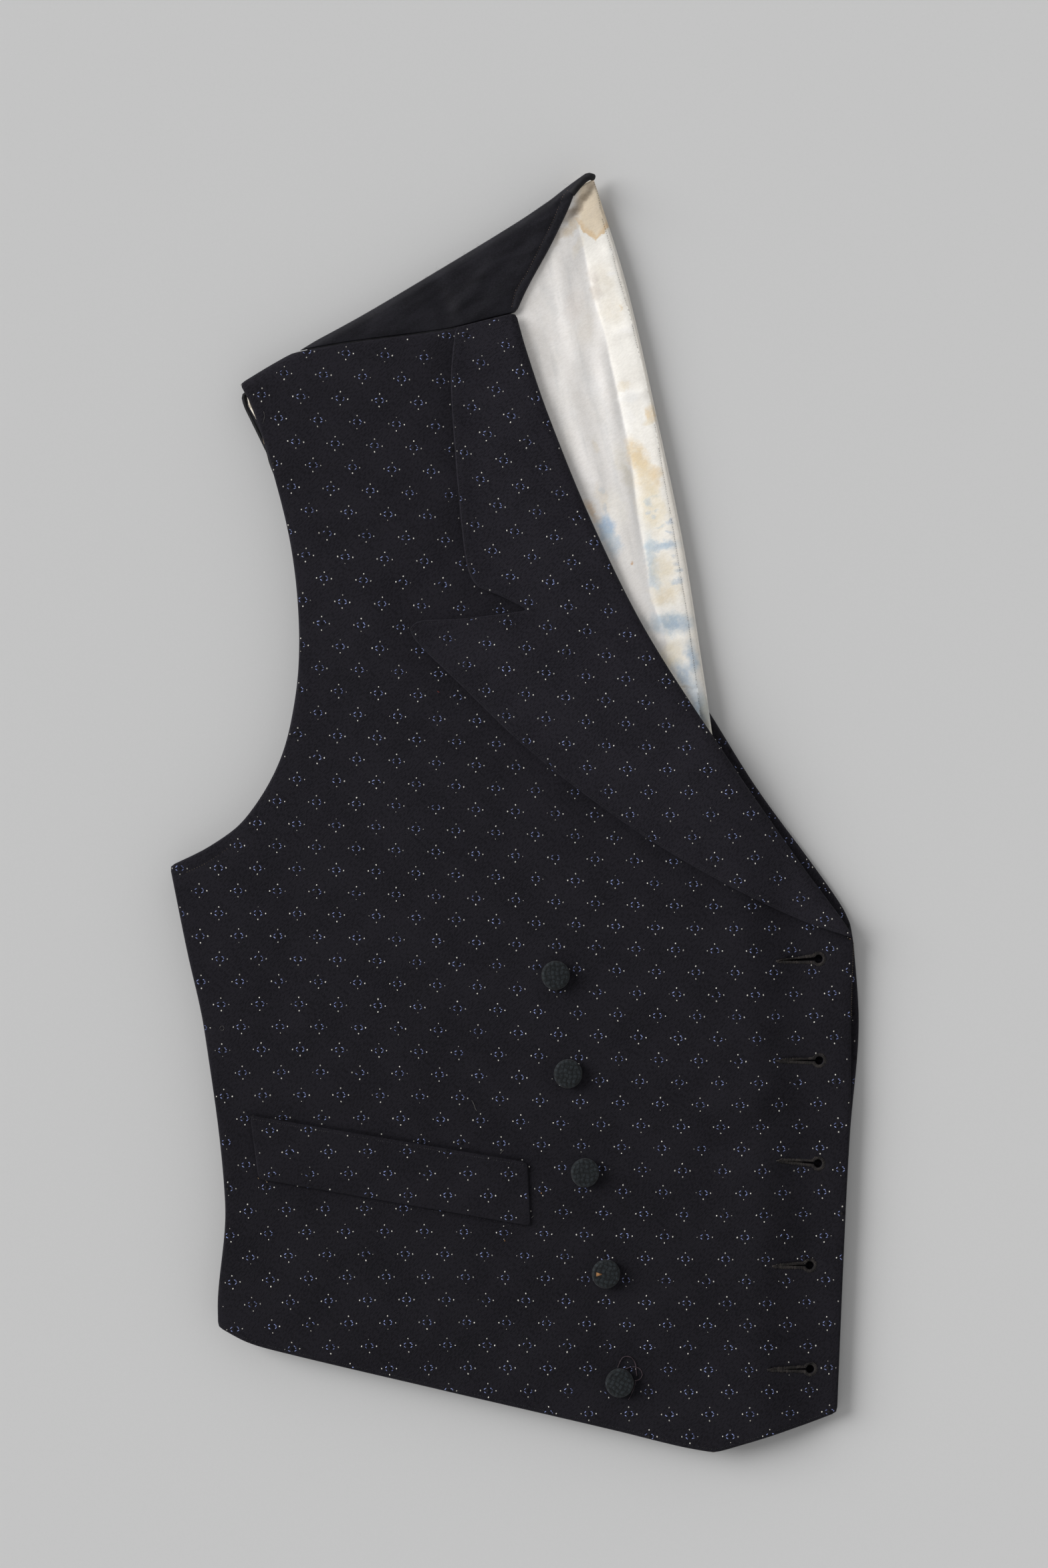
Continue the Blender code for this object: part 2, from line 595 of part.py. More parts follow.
def main():
    for obj in list(bpy.data.objects):
        bpy.data.objects.remove(obj)
    scene = bpy.context.scene
    waistcoat = bpy.data.collections.new("Waistcoat")
    cutters = bpy.data.collections.new("Cutters")
    scene.collection.children.link(waistcoat)
    scene.collection.children.link(cutters)
    wool = cloth("Wool", (0.011, 0.012, 0.02), 0.9)
    satin = cloth("Satin", (0.012, 0.014, 0.022), 0.5)
    lining = cloth("Lining", (0.62, 0.6, 0.55), 0.7)
    button_cloth = cloth("Button cloth", (0.025, 0.033, 0.037), 0.75)
    add_far_front(wool, waistcoat)
    add_folded_back(satin, waistcoat)
    add_back_lining(lining, waistcoat)
    add_back_shoulder(satin, waistcoat)
    for number, row in enumerate(BUTTONHOLES, 1):
        add_buttonhole_cutter(number, *row, cutters)
    add_front_panel(wool, waistcoat, cutters)
    add_collar_lapel(wool, waistcoat)
    add_pocket_welt(wool, waistcoat)
    for number, (x, y) in enumerate(BUTTON_PLACES, 1):
        add_button(number, x, y, button_cloth, waistcoat)


main()
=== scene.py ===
# Looks of the folded wool waistcoat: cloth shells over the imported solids, woven motifs, sewing and lining.
# Places in the tables are in millimetres from the middle of the laid-out garment, +Y towards the neck.
import math
import random

import bpy
import numpy as np
from mathutils import Euler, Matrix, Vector
from mathutils.geometry import delaunay_2d_cdt


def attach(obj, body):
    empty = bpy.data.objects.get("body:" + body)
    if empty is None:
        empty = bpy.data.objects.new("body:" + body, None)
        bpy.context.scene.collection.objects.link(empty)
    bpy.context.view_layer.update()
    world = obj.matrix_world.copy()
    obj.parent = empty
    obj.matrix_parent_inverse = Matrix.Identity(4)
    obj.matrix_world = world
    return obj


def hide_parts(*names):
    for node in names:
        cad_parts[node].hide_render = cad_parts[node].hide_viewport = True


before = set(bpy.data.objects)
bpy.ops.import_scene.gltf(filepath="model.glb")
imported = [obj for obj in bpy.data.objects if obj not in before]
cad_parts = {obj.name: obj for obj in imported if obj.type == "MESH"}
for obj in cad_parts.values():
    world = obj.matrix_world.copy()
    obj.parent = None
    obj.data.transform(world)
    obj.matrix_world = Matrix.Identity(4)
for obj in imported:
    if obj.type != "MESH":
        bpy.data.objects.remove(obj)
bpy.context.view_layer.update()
print("frame loaded:", len(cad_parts), "nodes")

mm = 0.001
body = "root"

# How thick each stack of cloth is, and how the stacks lie on each other
stack = {
    "farFront": 4.0, "backs": 4.2, "flap": 2.0, "front": 3.0, "lapel": 2.0, "welt": 1.2,
    "layerGap": 0.4, "seamGap": 0.3,
    "backsFall": 26.0,      # past the far front's inner edge the backs fall over this width
    "foldSpring": 1.4,      # and their fold stays this far off the table
    "frontFall": 30.0,      # past the centre back fold the near front reaches the far front over this width
    "ridgeRound": 4.0, "ridgeDrop": 4.2,
    "rollRound": 3.8, "rollDrop": 3.0,
    "foldOpens": 24.0,      # a fold that wraps down opens out over this length at its end
    "outlineStep": 2.6,
}

corners = {
    "shoulderTip": (-137.2, 213.2), "seamStart": (-111.2, 228.6), "ridgeSplit": (17, 304.6),
    "neckPeak": (37.3, 319.2), "neckTip": (39.2, 315.8), "neckPoint": (0.5, 248.2),
    "collarStart": (-29.6, 240.8), "notch": (6.4, 100.1), "lapelPoint": (-52.6, 91),
    "breakPoint": (169, -63.2), "frontCorner": (160.8, -299.8), "hemPoint": (98.8, -319.2),
    "sideCorner": (-147.9, -256.6), "underarm": (-171.9, -27.2), "foldMeetsRoll": (98.8, 35.8),
    "farRollShows": (97.7, 48.8), "liningFoot": (101.8, 16), "foldAtHem": (119.6, -311),
    "farPeak": (30.5, 310.5), "farBreak": (167.8, -56.5), "stripEnd": (-123.8, 178.7),
    "hiddenHem": (83.2, -312.5), "hiddenSide": (-144.5, -254), "hiddenArm": (-168.5, -28.5),
}

# Every edge runs from its first corner to its last one, through the points between
edgeRoutes = {
    "ridgeTip": ("shoulderTip", [(-123.5, 221.6)], "seamStart"),
    "ridge": ("seamStart", [(-78.5, 246.2), (-38.5, 269.8), (1.5, 294.2)], "ridgeSplit"),
    "ridgeNeck": ("ridgeSplit", [(26.5, 311.8)], "neckPeak"),
    "neckEnd": ("neckPeak", [], "neckTip"),
    "backNeck": ("neckTip", [(35.5, 313.8), (30.5, 309.5), (27.2, 301.2), (17.5, 281.2), (6.5, 261.2)],
                 "neckPoint"),
    "seam": ("neckPoint", [(-12.2, 245.2), (-29.6, 240.8), (-41.8, 238.8), (-82.8, 233.5)], "seamStart"),
    "roll": ("neckPoint", [(5.2, 231.2), (16.5, 197.8), (38.2, 144.5), (64.5, 91.2), (99.8, 35.8),
                           (142.5, -25.8), (163, -53.5)], "breakPoint"),
    "lapelEdge": ("breakPoint", [(142.5, -54.2), (99.8, -33.5), (57.5, -7.8), (8.5, 29.2), (-31.8, 67.5),
                                 (-49.6, 85)], "lapelPoint"),
    "lapelTop": ("lapelPoint", [(-48.5, 94.6), (-27.7, 95.8), (-6.5, 98.2)], "notch"),
    "collarEdge": ("notch", [(-6.5, 106.8), (-18.6, 111.8), (-22.8, 118.5), (-25.5, 132.5), (-29.5, 174.8),
                             (-31.8, 215.5)], "collarStart"),
    "collarSeam": ("collarStart", [(-12.2, 245.2), (-3, 247.4)], "neckPoint"),
    "frontEdge": ("breakPoint", [(167.9, -95), (167.6, -140), (166.4, -170), (163.2, -242.2)],
                  "frontCorner"),
    "hemFront": ("frontCorner", [(143.5, -306.2), (104.5, -318)], "hemPoint"),
    "hemSide": ("hemPoint", [(83.2, -316.4), (49.8, -308.2), (-43.5, -286.5), (-115.5, -269.5),
                             (-133.5, -264.3)], "sideCorner"),
    "side": ("sideCorner", [(-148, -242), (-144.4, -195), (-154.8, -108.8), (-163.5, -68.8)],
             "underarm"),
    "armhole": ("underarm", [(-151.6, -17), (-134.5, -3.6), (-117.5, 24.5), (-109.4, 57), (-107.6, 91.2),
                             (-111.5, 131.2), (-121.2, 171.2), (-131.5, 202.5), (-135, 209.1)],
                "shoulderTip"),
    "fold": ("neckTip", [(55.3, 264.5), (70.7, 197.8), (84.5, 131.2), (94.8, 64.5)], "foldMeetsRoll"),
    "foldFoot": ("foldMeetsRoll", [], "liningFoot"),
    "hiddenFold": ("liningFoot", [(109.5, -45), (117.2, -162.2)], "foldAtHem"),
    "strip": ("shoulderTip", [(-135.6, 203.5), (-131.5, 194.5), (-127.2, 185.7)], "stripEnd"),
    "backArmhole": ("stripEnd", [(-118, 150), (-114, 131.2), (-110.3, 91.2), (-112.3, 57),
                                 (-121, 22), (-138, -7)], "hiddenArm"),
    "hiddenSideSeam": ("hiddenSide", [(-141.4, -195), (-151.8, -108.8)], "hiddenArm"),
    "hiddenHemSide": ("hiddenHem", [(-43.5, -282.5), (-115.5, -265.5)], "hiddenSide"),
    "hiddenHemFront": ("foldAtHem", [(98, -314.5)], "hiddenHem"),
    "farRidge": ("ridgeSplit", [], "farPeak"),
    "farNeck": ("farPeak", [(15.5, 281), (5, 261.2), (1.8, 248), (8.6, 228), (21.5, 195),
                            (43.5, 142), (70, 90)], "farRollShows"),
    "farRoll": ("farRollShows", [(121.2, 11.2), (150.5, -28.8), (163.8, -48)], "farBreak"),
    "farEdge": ("farBreak", [(169.6, -68.8), (171.9, -108.8), (167.5, -162.2), (163.4, -242.2)],
                "frontCorner"),
}
hiddenSplit = [(72, 58), (42, 112), (18, 168), (0, 215), (-7, 244), (-1, 270)]
liningNeck = [(20.5, 302.4), (28.3, 309.6), (34.6, 314.2)]
weltCorners = [(-131.8, -151.2), (6.2, -174.5), (7.8, -206.2), (-127.6, -182.8)]

# How outlines are cleaned up
outlineRules = {
    "sharpest": 0.6,     # at a corner a depth grows to no more than one over this
    "tries": 9, "crowded": 0.9, "shrink": 0.72,    # how inner rings keep out of narrow places
    "searched": 12,      # points each side of a corner where two lines may cross
    "nearest": 0.6,      # points stand no closer than this
    "softened": 0.2,     # share of each neighbour in a point
}


# Lines, loops and distances
def smoothLine(points, step=stack["outlineStep"]):
    points = [np.array(p, float) for p in points]
    ends = [2 * points[0] - points[1], *points, 2 * points[-1] - points[-2]]
    lengths = [np.linalg.norm(b - a) for a, b in zip(ends, ends[1:])]
    found = [points[0]]
    for i in range(1, len(ends) - 2):
        before, here, after = lengths[i - 1:i + 2]
        start, end = ends[i], ends[i + 1]
        leave = (end - ends[i - 1]) / (before + here) * here
        arrive = (ends[i + 2] - start) / (here + after) * here
        count = max(1, round(here / step))
        for k in range(1, count + 1):
            t = k / count
            found.append((2 * t**3 - 3 * t**2 + 1) * start + (t**3 - 2 * t**2 + t) * leave
                         + (3 * t**2 - 2 * t**3) * end + (t**3 - t**2) * arrive)
    return np.array(found)


def unit(along):
    return along / np.linalg.norm(along, axis=1)[:, None]


def leftOf(along):
    return np.stack([-along[:, 1], along[:, 0]], axis=1)


def beside(line, offset):    # the line moved to its left
    return line + offset * leftOf(unit(np.gradient(line, axis=0)))


def rowsBeside(*sets):    # points in rows beside lines, from (line, offsets) pairs
    return np.vstack([beside(line, offset) for line, offsets in sets for offset in offsets])


def pulledIn(loop, depth):    # a counterclockwise loop moved inwards, by one depth or one for each point
    alongIn = unit(loop - np.roll(loop, 1, axis=0))
    alongOut = unit(np.roll(loop, -1, axis=0) - loop)
    middle = unit(alongIn + alongOut)
    stretch = 1 / np.clip((middle * alongIn).sum(axis=1), outlineRules["sharpest"], 1.0)
    return loop + leftOf(middle) * (stretch * depth)[:, None]


def roomInside(loop, depth):    # how far each point can move in before it nears another side
    rooms = np.full(len(loop), float(depth))
    for _ in range(outlineRules["tries"]):
        crowded = distanceTo(closed(loop), *pulledIn(loop, rooms).T) < outlineRules["crowded"] * rooms
        rooms[crowded] *= outlineRules["shrink"]
    return np.minimum(rooms, 0.5 * rooms + 0.25 * (np.roll(rooms, 1) + np.roll(rooms, -1)))


def crossing(lineA, lineB):    # where the end of one line first meets the start of the next
    last, searched = len(lineA) - 2, outlineRules["searched"]
    for i in range(last, max(-1, last - searched), -1):
        for j in range(min(searched, len(lineB) - 1)):
            a, b = lineA[i], lineA[i + 1] - lineA[i]
            c, d = lineB[j], lineB[j + 1] - lineB[j]
            slant = b[0] * d[1] - b[1] * d[0]
            if abs(slant) < 1e-9:    # they run side by side
                continue
            s = ((c[0] - a[0]) * d[1] - (c[1] - a[1]) * d[0]) / slant
            t = ((c[0] - a[0]) * b[1] - (c[1] - a[1]) * b[0]) / slant
            if 0 <= s <= 1 and 0 <= t <= 1:
                return i, j, a + s * b
    return None


def outlineOf(*sides):    # a closed counterclockwise loop from (line, depth) pairs, its corners softened
    points = np.vstack([line[:-1] for line, depth in sides])
    after = np.roll(points, -1, axis=0)
    if (points[:, 0] * after[:, 1] - points[:, 1] * after[:, 0]).sum() < 0:
        sides = [(line[::-1], depth) for line, depth in sides[::-1]]
    lines = [beside(line, depth) for line, depth in sides]
    for i in range(len(lines)):
        j = (i + 1) % len(lines)
        met = crossing(lines[i], lines[j])
        if met:
            lines[i] = np.vstack([lines[i][:met[0] + 1], met[2]])
            lines[j] = np.vstack([met[2], lines[j][met[1] + 1:]])
    loop, nearest, share = [], outlineRules["nearest"], outlineRules["softened"]
    for p in np.vstack(lines):
        if not loop or np.hypot(*(p - loop[-1])) > nearest:
            loop.append(p)
    if np.hypot(*(loop[0] - loop[-1])) <= nearest:
        loop.pop()
    loop = np.array(loop)
    return share * np.roll(loop, 1, axis=0) + (1 - 2 * share) * loop + share * np.roll(loop, -1, axis=0)


def insideLoop(loop, x, y):
    crossings = np.zeros(np.shape(x), int)
    for (x1, y1), (x2, y2) in zip(loop, np.roll(loop, -1, axis=0)):
        if y1 != y2:
            where = (y1 > y) != (y2 > y)
            crossings += where & (x < (x2 - x1) * (y - y1) / (y2 - y1) + x1)
    return crossings % 2 == 1


def distanceTo(line, x, y):
    nearest = np.full(np.shape(x), np.inf)
    for (x1, y1), (x2, y2) in zip(line, line[1:]):
        length = (x2 - x1) ** 2 + (y2 - y1) ** 2
        t = np.clip(((x - x1) * (x2 - x1) + (y - y1) * (y2 - y1)) / length, 0, 1)
        nearest = np.minimum(nearest, np.hypot(x - x1 - t * (x2 - x1), y - y1 - t * (y2 - y1)))
    return nearest


def closed(loop):
    return np.vstack([loop, loop[:1]])


def ease(t):
    t = np.clip(t, 0, 1)
    return t * t * (3 - 2 * t)


def acrossAt(line, y):    # x of a line that runs steadily up or down
    order = np.argsort(line[:, 1])
    return np.interp(y, line[order, 1], line[order, 0])


def undulation(x, y, size, seed, waves=7):    # smooth waves about one high, the same each run
    draw = random.Random(seed)
    height = np.zeros(np.shape(x))
    for _ in range(waves):
        turn = draw.uniform(0, math.pi)
        length = size * draw.uniform(0.7, 1.6)
        phase = draw.uniform(0, 2 * math.pi)
        height = height + np.sin((x * math.cos(turn) + y * math.sin(turn)) * 2 * math.pi / length + phase)
    return height / (waves / 2)


def wavesOf(values, x, y):    # how uneven a cloth lies
    return values["waves"] * undulation(x, y, values["waveSize"], values["seed"])


def foldHeight(x, y, folds):    # soft ridges, or valleys below zero, that fade at their ends
    height = np.zeros(np.shape(x))
    for x1, y1, x2, y2, rise, halfWidth in folds:
        length = math.hypot(x2 - x1, y2 - y1)
        along = ((x - x1) * (x2 - x1) + (y - y1) * (y2 - y1)) / length**2
        across = ((x - x1) * (y2 - y1) - (y - y1) * (x2 - x1)) / length
        fade = ease(3.0 * (0.5 - np.abs(along - 0.5)) + 0.45)
        height = height + rise * fade * np.exp(-(1.6 * across / halfWidth) ** 2)
    return height


edges = {}
for edgeName, (firstCorner, between, lastCorner) in edgeRoutes.items():
    edges[edgeName] = smoothLine([corners[firstCorner], *between, corners[lastCorner]])
ridgeLine = np.vstack([edges["ridgeTip"], edges["ridge"][1:], edges["ridgeNeck"][1:]])
backRidge = beside(np.vstack([edges["ridgeTip"][:-1], edges["ridge"]]), -stack["ridgeRound"] - 0.8)[4:]
farInner = np.vstack([edges["farNeck"], edges["farRoll"][1:], edges["farEdge"][1:]])
wholeFold = np.vstack([edges["fold"], edges["foldFoot"][1:], edges["hiddenFold"][1:]])
split = smoothLine([corners["liningFoot"], *hiddenSplit, backRidge[-1]])
lapelLoop = outlineOf((edges["roll"], 0), (edges["lapelEdge"], 0), (edges["lapelTop"], 0),
                      (edges["collarEdge"], 0), (edges["collarSeam"], 0.2))
weltSides = [smoothLine([a, b]) for a, b in zip(weltCorners, weltCorners[1:] + weltCorners[:1])]
weltLoop = outlineOf(*[(side, 0) for side in weltSides])
print("outlines drawn")


# Heights of the layers at (x, y)
def roundDrop(line, width, drop, x, y):    # a quarter round beside the line that a fold wraps over
    t = np.clip(distanceTo(line, x, y) / width, 0, 1)
    return drop * (1 - np.sqrt(1 - (1 - t) ** 2))


def foldWrap(fold, line, end, x, y):    # how far cloth comes down round a fold, which opens out at its end
    closing = ease(np.hypot(x - end[0], y - end[1]) / stack["foldOpens"])
    return closing * roundDrop(line, stack[fold + "Round"], stack[fold + "Drop"], x, y)


def ridgeWrap(x, y):
    return foldWrap("ridge", ridgeLine, corners["neckPeak"], x, y)


def backsFloor(x, y):
    past = ease((x - acrossAt(farInner, y) - 1) / stack["backsFall"])
    lying = stack["farFront"] + stack["layerGap"]
    return lying - (lying - stack["foldSpring"]) * past


def frontFloor(x, y):
    past = ease((x - acrossAt(wholeFold, y) - 1) / stack["frontFall"])
    onBacks = (stack["backs"] + stack["layerGap"]) * (1 - past)
    return stack["farFront"] + stack["layerGap"] + onBacks - ridgeWrap(x, y)


# Woven pattern: rows of motifs half a step apart. x and y are sums of 1, u, v, v2, uv, u2, v3, uv2, u2v, u3.
wovenGrids = {
    "front": ((-28.9, 19.90, 0.1857, 0.01367, 0.0046, 0.014, -0.000387, -0.000813, 0.003, -0.00433),
              (-75.9, -0.84, -11.057, -0.00253, 0.0295, -0.02367, -0.000187, 0.001, -0.0029, 0.00753)),
    "lapel": ((45.5, 19.9, 0.347, 0.086, 0.0017, 0.033), (32.73, -0.863, -11.33, -0.0297, 0.171, 0.143)),
    "welt": ((-63.28, 19.63, 0.243, 0.04, -0.113, 0.147), (-179.9, 0.05, -10.9, 0.023, 0.017, -0.063)),
    "roll": ((145.13, 19.17, -1.28, 0, 0, 0), (-27.0, -5.13, -9.8, 0, 0, 0)),
}
motifStep = {"across": 19.9, "down": 11.2}


def gridPlace(grid, u, v):
    terms = (1, u, v, v * v, u * v, u * u, v**3, u * v * v, u * u * v, u**3)
    return tuple(sum(c * term for c, term in zip(row, terms)) for row in grid)


def gridSlopes(grid, u, v):    # how x and y change with u and with v
    slopes = []
    for row in grid:
        c = [*row, 0, 0, 0, 0]
        slopes.append((c[1] + c[4] * v + 2 * c[5] * u + c[7] * v * v + 2 * c[8] * u * v + 3 * c[9] * u * u,
                       c[2] + 2 * c[3] * v + c[4] * u + 3 * c[6] * v * v + 2 * c[7] * u * v + c[8] * u * u))
    return slopes


def onGrid(grid, x, y):    # u and v of a place, by Newton's method
    u, v = np.zeros(np.shape(x)), np.zeros(np.shape(x))
    for _ in range(8):
        px, py = gridPlace(grid, u, v)
        (xu, xv), (yu, yv) = gridSlopes(grid, u, v)
        area = xu * yv - xv * yu
        u = u + ((x - px) * yv - (y - py) * xv) / area
        v = v + ((y - py) * xu - (x - px) * yu) / area
    return u, v


# Meshes
meshRules = {
    "tries": 8, "relief": 0.4, "reliefWidth": 5.0,    # how an inner outline that crosses itself moves out
    "gridMargin": 0.4, "gridNearest": 0.55,           # shares of the grid's step
    "rowMargin": 0.5, "rowNearest": 0.45, "holeMargin": 0.6,
    "waist": 0.45,                                    # share of the thickness at a cloth's widest point
}


def spaced(points, fixed, nearest):    # the points no nearer than this to a fixed one or to each other
    cells = {}

    def claim(x, y):
        cells.setdefault((math.floor(x / nearest), math.floor(y / nearest)), []).append((x, y))

    for x, y in fixed:
        claim(x, y)
    kept = []
    for x, y in points:
        cx, cy = math.floor(x / nearest), math.floor(y / nearest)
        near = [q for i in (-1, 0, 1) for j in (-1, 0, 1) for q in cells.get((cx + i, cy + j), [])]
        if all((x - qx) ** 2 + (y - qy) ** 2 >= nearest**2 for qx, qy in near):
            claim(x, y)
            kept.append((x, y))
    return np.array(kept).reshape(-1, 2)


def gridInside(loop, step, margin, holes=()):
    rowStep = step * math.sqrt(3) / 2
    low, high = loop.min(axis=0), loop.max(axis=0)
    points = []
    for row in range(math.floor(low[1] / rowStep), math.ceil(high[1] / rowStep) + 1):
        columns = np.arange(math.floor(low[0] / step), math.ceil(high[0] / step) + 1)
        levels = np.full(len(columns), row * rowStep)
        points.append(np.column_stack([(columns + row % 2 / 2) * step, levels]))
    return keptInside(loop, np.vstack(points), margin, holes)


def keptInside(loop, points, margin, holes=()):
    x, y = points.T
    keep = insideLoop(loop, x, y) & (distanceTo(closed(loop), x, y) > margin)
    for hole in holes:
        keep &= ~insideLoop(hole, x, y) & (distanceTo(closed(hole), x, y) > margin * meshRules["holeMargin"])
    return points[keep]


def edgeRings(foot, head):    # share of the thickness and depth inside the outline, from the foot up
    waist, rings = meshRules["waist"], []
    for turn in map(math.radians, (0, 30, 60, 90)):
        rings.append((waist * (1 - math.cos(turn)), foot * (1 - math.sin(turn))))
    for turn in map(math.radians, (22.5, 45, 67.5, 90)):
        rings.append((waist + (1 - waist) * math.sin(turn), head * (1 - math.cos(turn))))
    return rings


def ringWalls(start, sides, rings, inside=False):    # quads between rings of points that follow each other
    walls = []
    for ring in range(rings - 1):
        low, high = start + ring * sides, start + (ring + 1) * sides
        for i in range(sides):
            a, b = i, (i + 1) % sides
            if inside:
                a, b = b, a
            walls.append((low + a, low + b, high + b, high + a))
    return walls


def newObject(name, points, faces, edgePairs=()):
    mesh = bpy.data.meshes.new(name)
    mesh.from_pydata(np.asarray(points, float) * mm, edgePairs, faces)
    obj = bpy.data.objects.new(name, mesh)
    bpy.context.scene.collection.objects.link(obj)
    return obj


def cutFlat(loop, rooms, lips, values, rows):
    # Inner points and triangles of a cloth's top. The rooms shrink where its inner outline crosses itself.
    constraints, start, step = [], 0, values["grid"]
    for ring in (loop, *lips):
        constraints.append(list(range(start, start + len(ring))))
        start += len(ring)
    for _ in range(meshRules["tries"]):
        topLoop = pulledIn(loop, values["head"] * rooms)
        inner = gridInside(topLoop, step, step * meshRules["gridMargin"], lips)
        if rows is not None:
            close = keptInside(topLoop, rows, meshRules["rowMargin"], lips)
            close = spaced(close, [], meshRules["rowNearest"])
            inner = np.vstack([close, spaced(inner, close, step * meshRules["gridNearest"])])
        flat = np.vstack([topLoop, *lips, inner])
        made = delaunay_2d_cdt([tuple(p) for p in flat], [], constraints, 1, 1e-6)
        lost = [made[0][i] for i, given in enumerate(made[3]) if not given]
        if not lost:
            break
        for place in lost:
            near = np.hypot(loop[:, 0] - place[0], loop[:, 1] - place[1]) < meshRules["reliefWidth"]
            rooms[near] *= meshRules["relief"]
    source = [given[0] for given in made[3]]
    faces = np.array([[source[i] for i in face] for face in made[2]])
    a, b, c = (flat[faces[:, k]] for k in range(3))
    area = (b[:, 0] - a[:, 0]) * (c[:, 1] - a[:, 1]) - (b[:, 1] - a[:, 1]) * (c[:, 0] - a[:, 0])
    faces[area < 0] = faces[area < 0][:, ::-1]
    keep = np.ones(len(faces), bool)
    for lip in lips:
        keep &= ~insideLoop(lip, *((a + b + c) / 3).T)
    return inner, faces[keep]


def clothShell(name, loop, floorAt, topAt, values, rows=None, holes=(), grid=None):
    # A closed body of cloth: rounded edges, a fine top, and holes cut through with their own small walls
    deepest = max(values["foot"], values["head"])
    rooms = roomInside(loop, deepest) / deepest
    inner, faces = cutFlat(loop, rooms, [lip for hole, lip in holes], values, rows)
    rings, count = edgeRings(values["foot"], values["head"]), len(loop)
    places = [pulledIn(loop, depth * rooms) for share, depth in rings]
    levels = [np.full(count, share) for share, depth in rings]
    walls = ringWalls(0, count, len(rings))
    total = len(rings) * count
    footIndex, topIndex = list(range(count)), list(range(total - count, total))
    for hole, lip in holes:
        sides = len(hole)
        for share, ring in ((0.0, lip), (0.15, hole), (0.85, hole), (1.0, lip)):
            places.append(ring)
            levels.append(np.full(sides, share))
        walls += ringWalls(total, sides, 4, True)
        footIndex.extend(range(total, total + sides))
        topIndex.extend(range(total + 3 * sides, total + 4 * sides))
        total += 4 * sides
    for share, index in ((0.0, footIndex), (1.0, topIndex)):
        places.append(inner)
        levels.append(np.full(len(inner), share))
        index.extend(range(total, total + len(inner)))
        total += len(inner)
    xy = np.vstack(places)
    low, high = floorAt(*xy.T), topAt(*xy.T)
    z = low + np.concatenate(levels) * (high - low)
    allFaces = walls + np.array(topIndex)[faces].tolist() + np.array(footIndex)[faces[:, ::-1]].tolist()
    obj = newObject(name, np.column_stack([xy, z]), allFaces)
    obj.data.shade_smooth()
    setGrain(obj, xy, grid)
    return obj


def setGrain(obj, xy, grid):    # a UV map in millimetres along the weave
    if grid is None:
        uv = xy
    else:
        u, v = onGrid(wovenGrids[grid], xy[:, 0], xy[:, 1])
        uv = np.column_stack([u * motifStep["across"], -v * motifStep["down"]])
    loops = np.empty(len(obj.data.loops), int)
    obj.data.loops.foreach_get("vertex_index", loops)
    layer = obj.data.uv_layers.new(name="grain")
    layer.data.foreach_set("uv", uv[loops].astype(np.float32).ravel())


def addAttribute(obj, name, values):
    attribute = obj.data.attributes.new(name, "FLOAT", "POINT")
    attribute.data.foreach_set("value", np.asarray(values, np.float32))


def pathObject(name, lines):    # polylines of (x, y, z) rows
    points, pairs = [], []
    for line in lines:
        start = len(points)
        points.extend(line)
        pairs.extend((start + i, start + i + 1) for i in range(len(line) - 1))
    return newObject(name, points, [], pairs)


def laidOn(line, heightAt, lift=0.0):
    line = np.asarray(line, float)
    return np.column_stack([line, heightAt(line[:, 0], line[:, 1]) + lift])


def makePlain(obj):    # the evaluated result becomes the object's own mesh
    depsgraph = bpy.context.evaluated_depsgraph_get()
    made = bpy.data.meshes.new_from_object(obj.evaluated_get(depsgraph))
    obj.modifiers.clear()
    obj.data = made


def finishPiece(obj, material=None, replaces=()):
    if material is not None:
        obj.data.materials.clear()
        obj.data.materials.append(material)
    if replaces:
        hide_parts(*replaces)
    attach(obj, body)
    return obj


# Node helpers
def put(tree, kind, inputs=None, **settings):
    node = tree.nodes.new(kind)
    for name, value in settings.items():
        setattr(node, name, value)
    for key, value in (inputs or {}).items():
        if isinstance(value, bpy.types.NodeSocket):
            tree.links.new(value, node.inputs[key])
        else:
            node.inputs[key].default_value = value
    return node


def result(tree, kind, inputs=None, **settings):    # a new node's first output
    return put(tree, kind, inputs, **settings).outputs[0]


def mixColour(tree, factor, a, b, blend="MIX"):
    node = put(tree, "ShaderNodeMix", {0: factor, 6: a, 7: b}, data_type="RGBA", blend_type=blend)
    return node.outputs[2]


def math2(tree, operation, a, b=0.0):
    return put(tree, "ShaderNodeMath", {0: a, 1: b}, operation=operation).outputs[0]


def product(tree, a, b):
    return math2(tree, "MULTIPLY", a, b)


def lengthOf(tree, vector):
    return put(tree, "ShaderNodeVectorMath", {0: vector}, operation="LENGTH").outputs["Value"]


def rangeOf(tree, value, low, high, toLow=0.0, toHigh=1.0):
    return result(tree, "ShaderNodeMapRange", {0: value, 1: low, 2: high, 3: toLow, 4: toHigh},
                  interpolation_type="SMOOTHSTEP")


def noise(tree, vector, scale, detail=2.0, rough=0.5, distortion=0.0, output="Fac"):
    return put(tree, "ShaderNodeTexNoise", {"Vector": vector, "Scale": scale, "Detail": detail,
                                           "Roughness": rough, "Distortion": distortion}).outputs[output]


def patches(tree, place, scale, detail, rough, *shows):    # noise, as strong as the range at its end says
    return rangeOf(tree, noise(tree, place, scale, detail, rough), *shows)


def stretched(tree, place, direction, times):    # the place, so that what is drawn on it is longer this way
    turn = (0, 0, math.radians(direction - 90))
    return result(tree, "ShaderNodeMapping", {"Vector": place, "Rotation": turn, "Scale": (1.0, times, 1.0)},
                  vector_type="TEXTURE")


def objectPlace(tree):
    return put(tree, "ShaderNodeTexCoord").outputs["Object"]


def grainPlace(tree):
    return result(tree, "ShaderNodeUVMap", uv_map="grain")


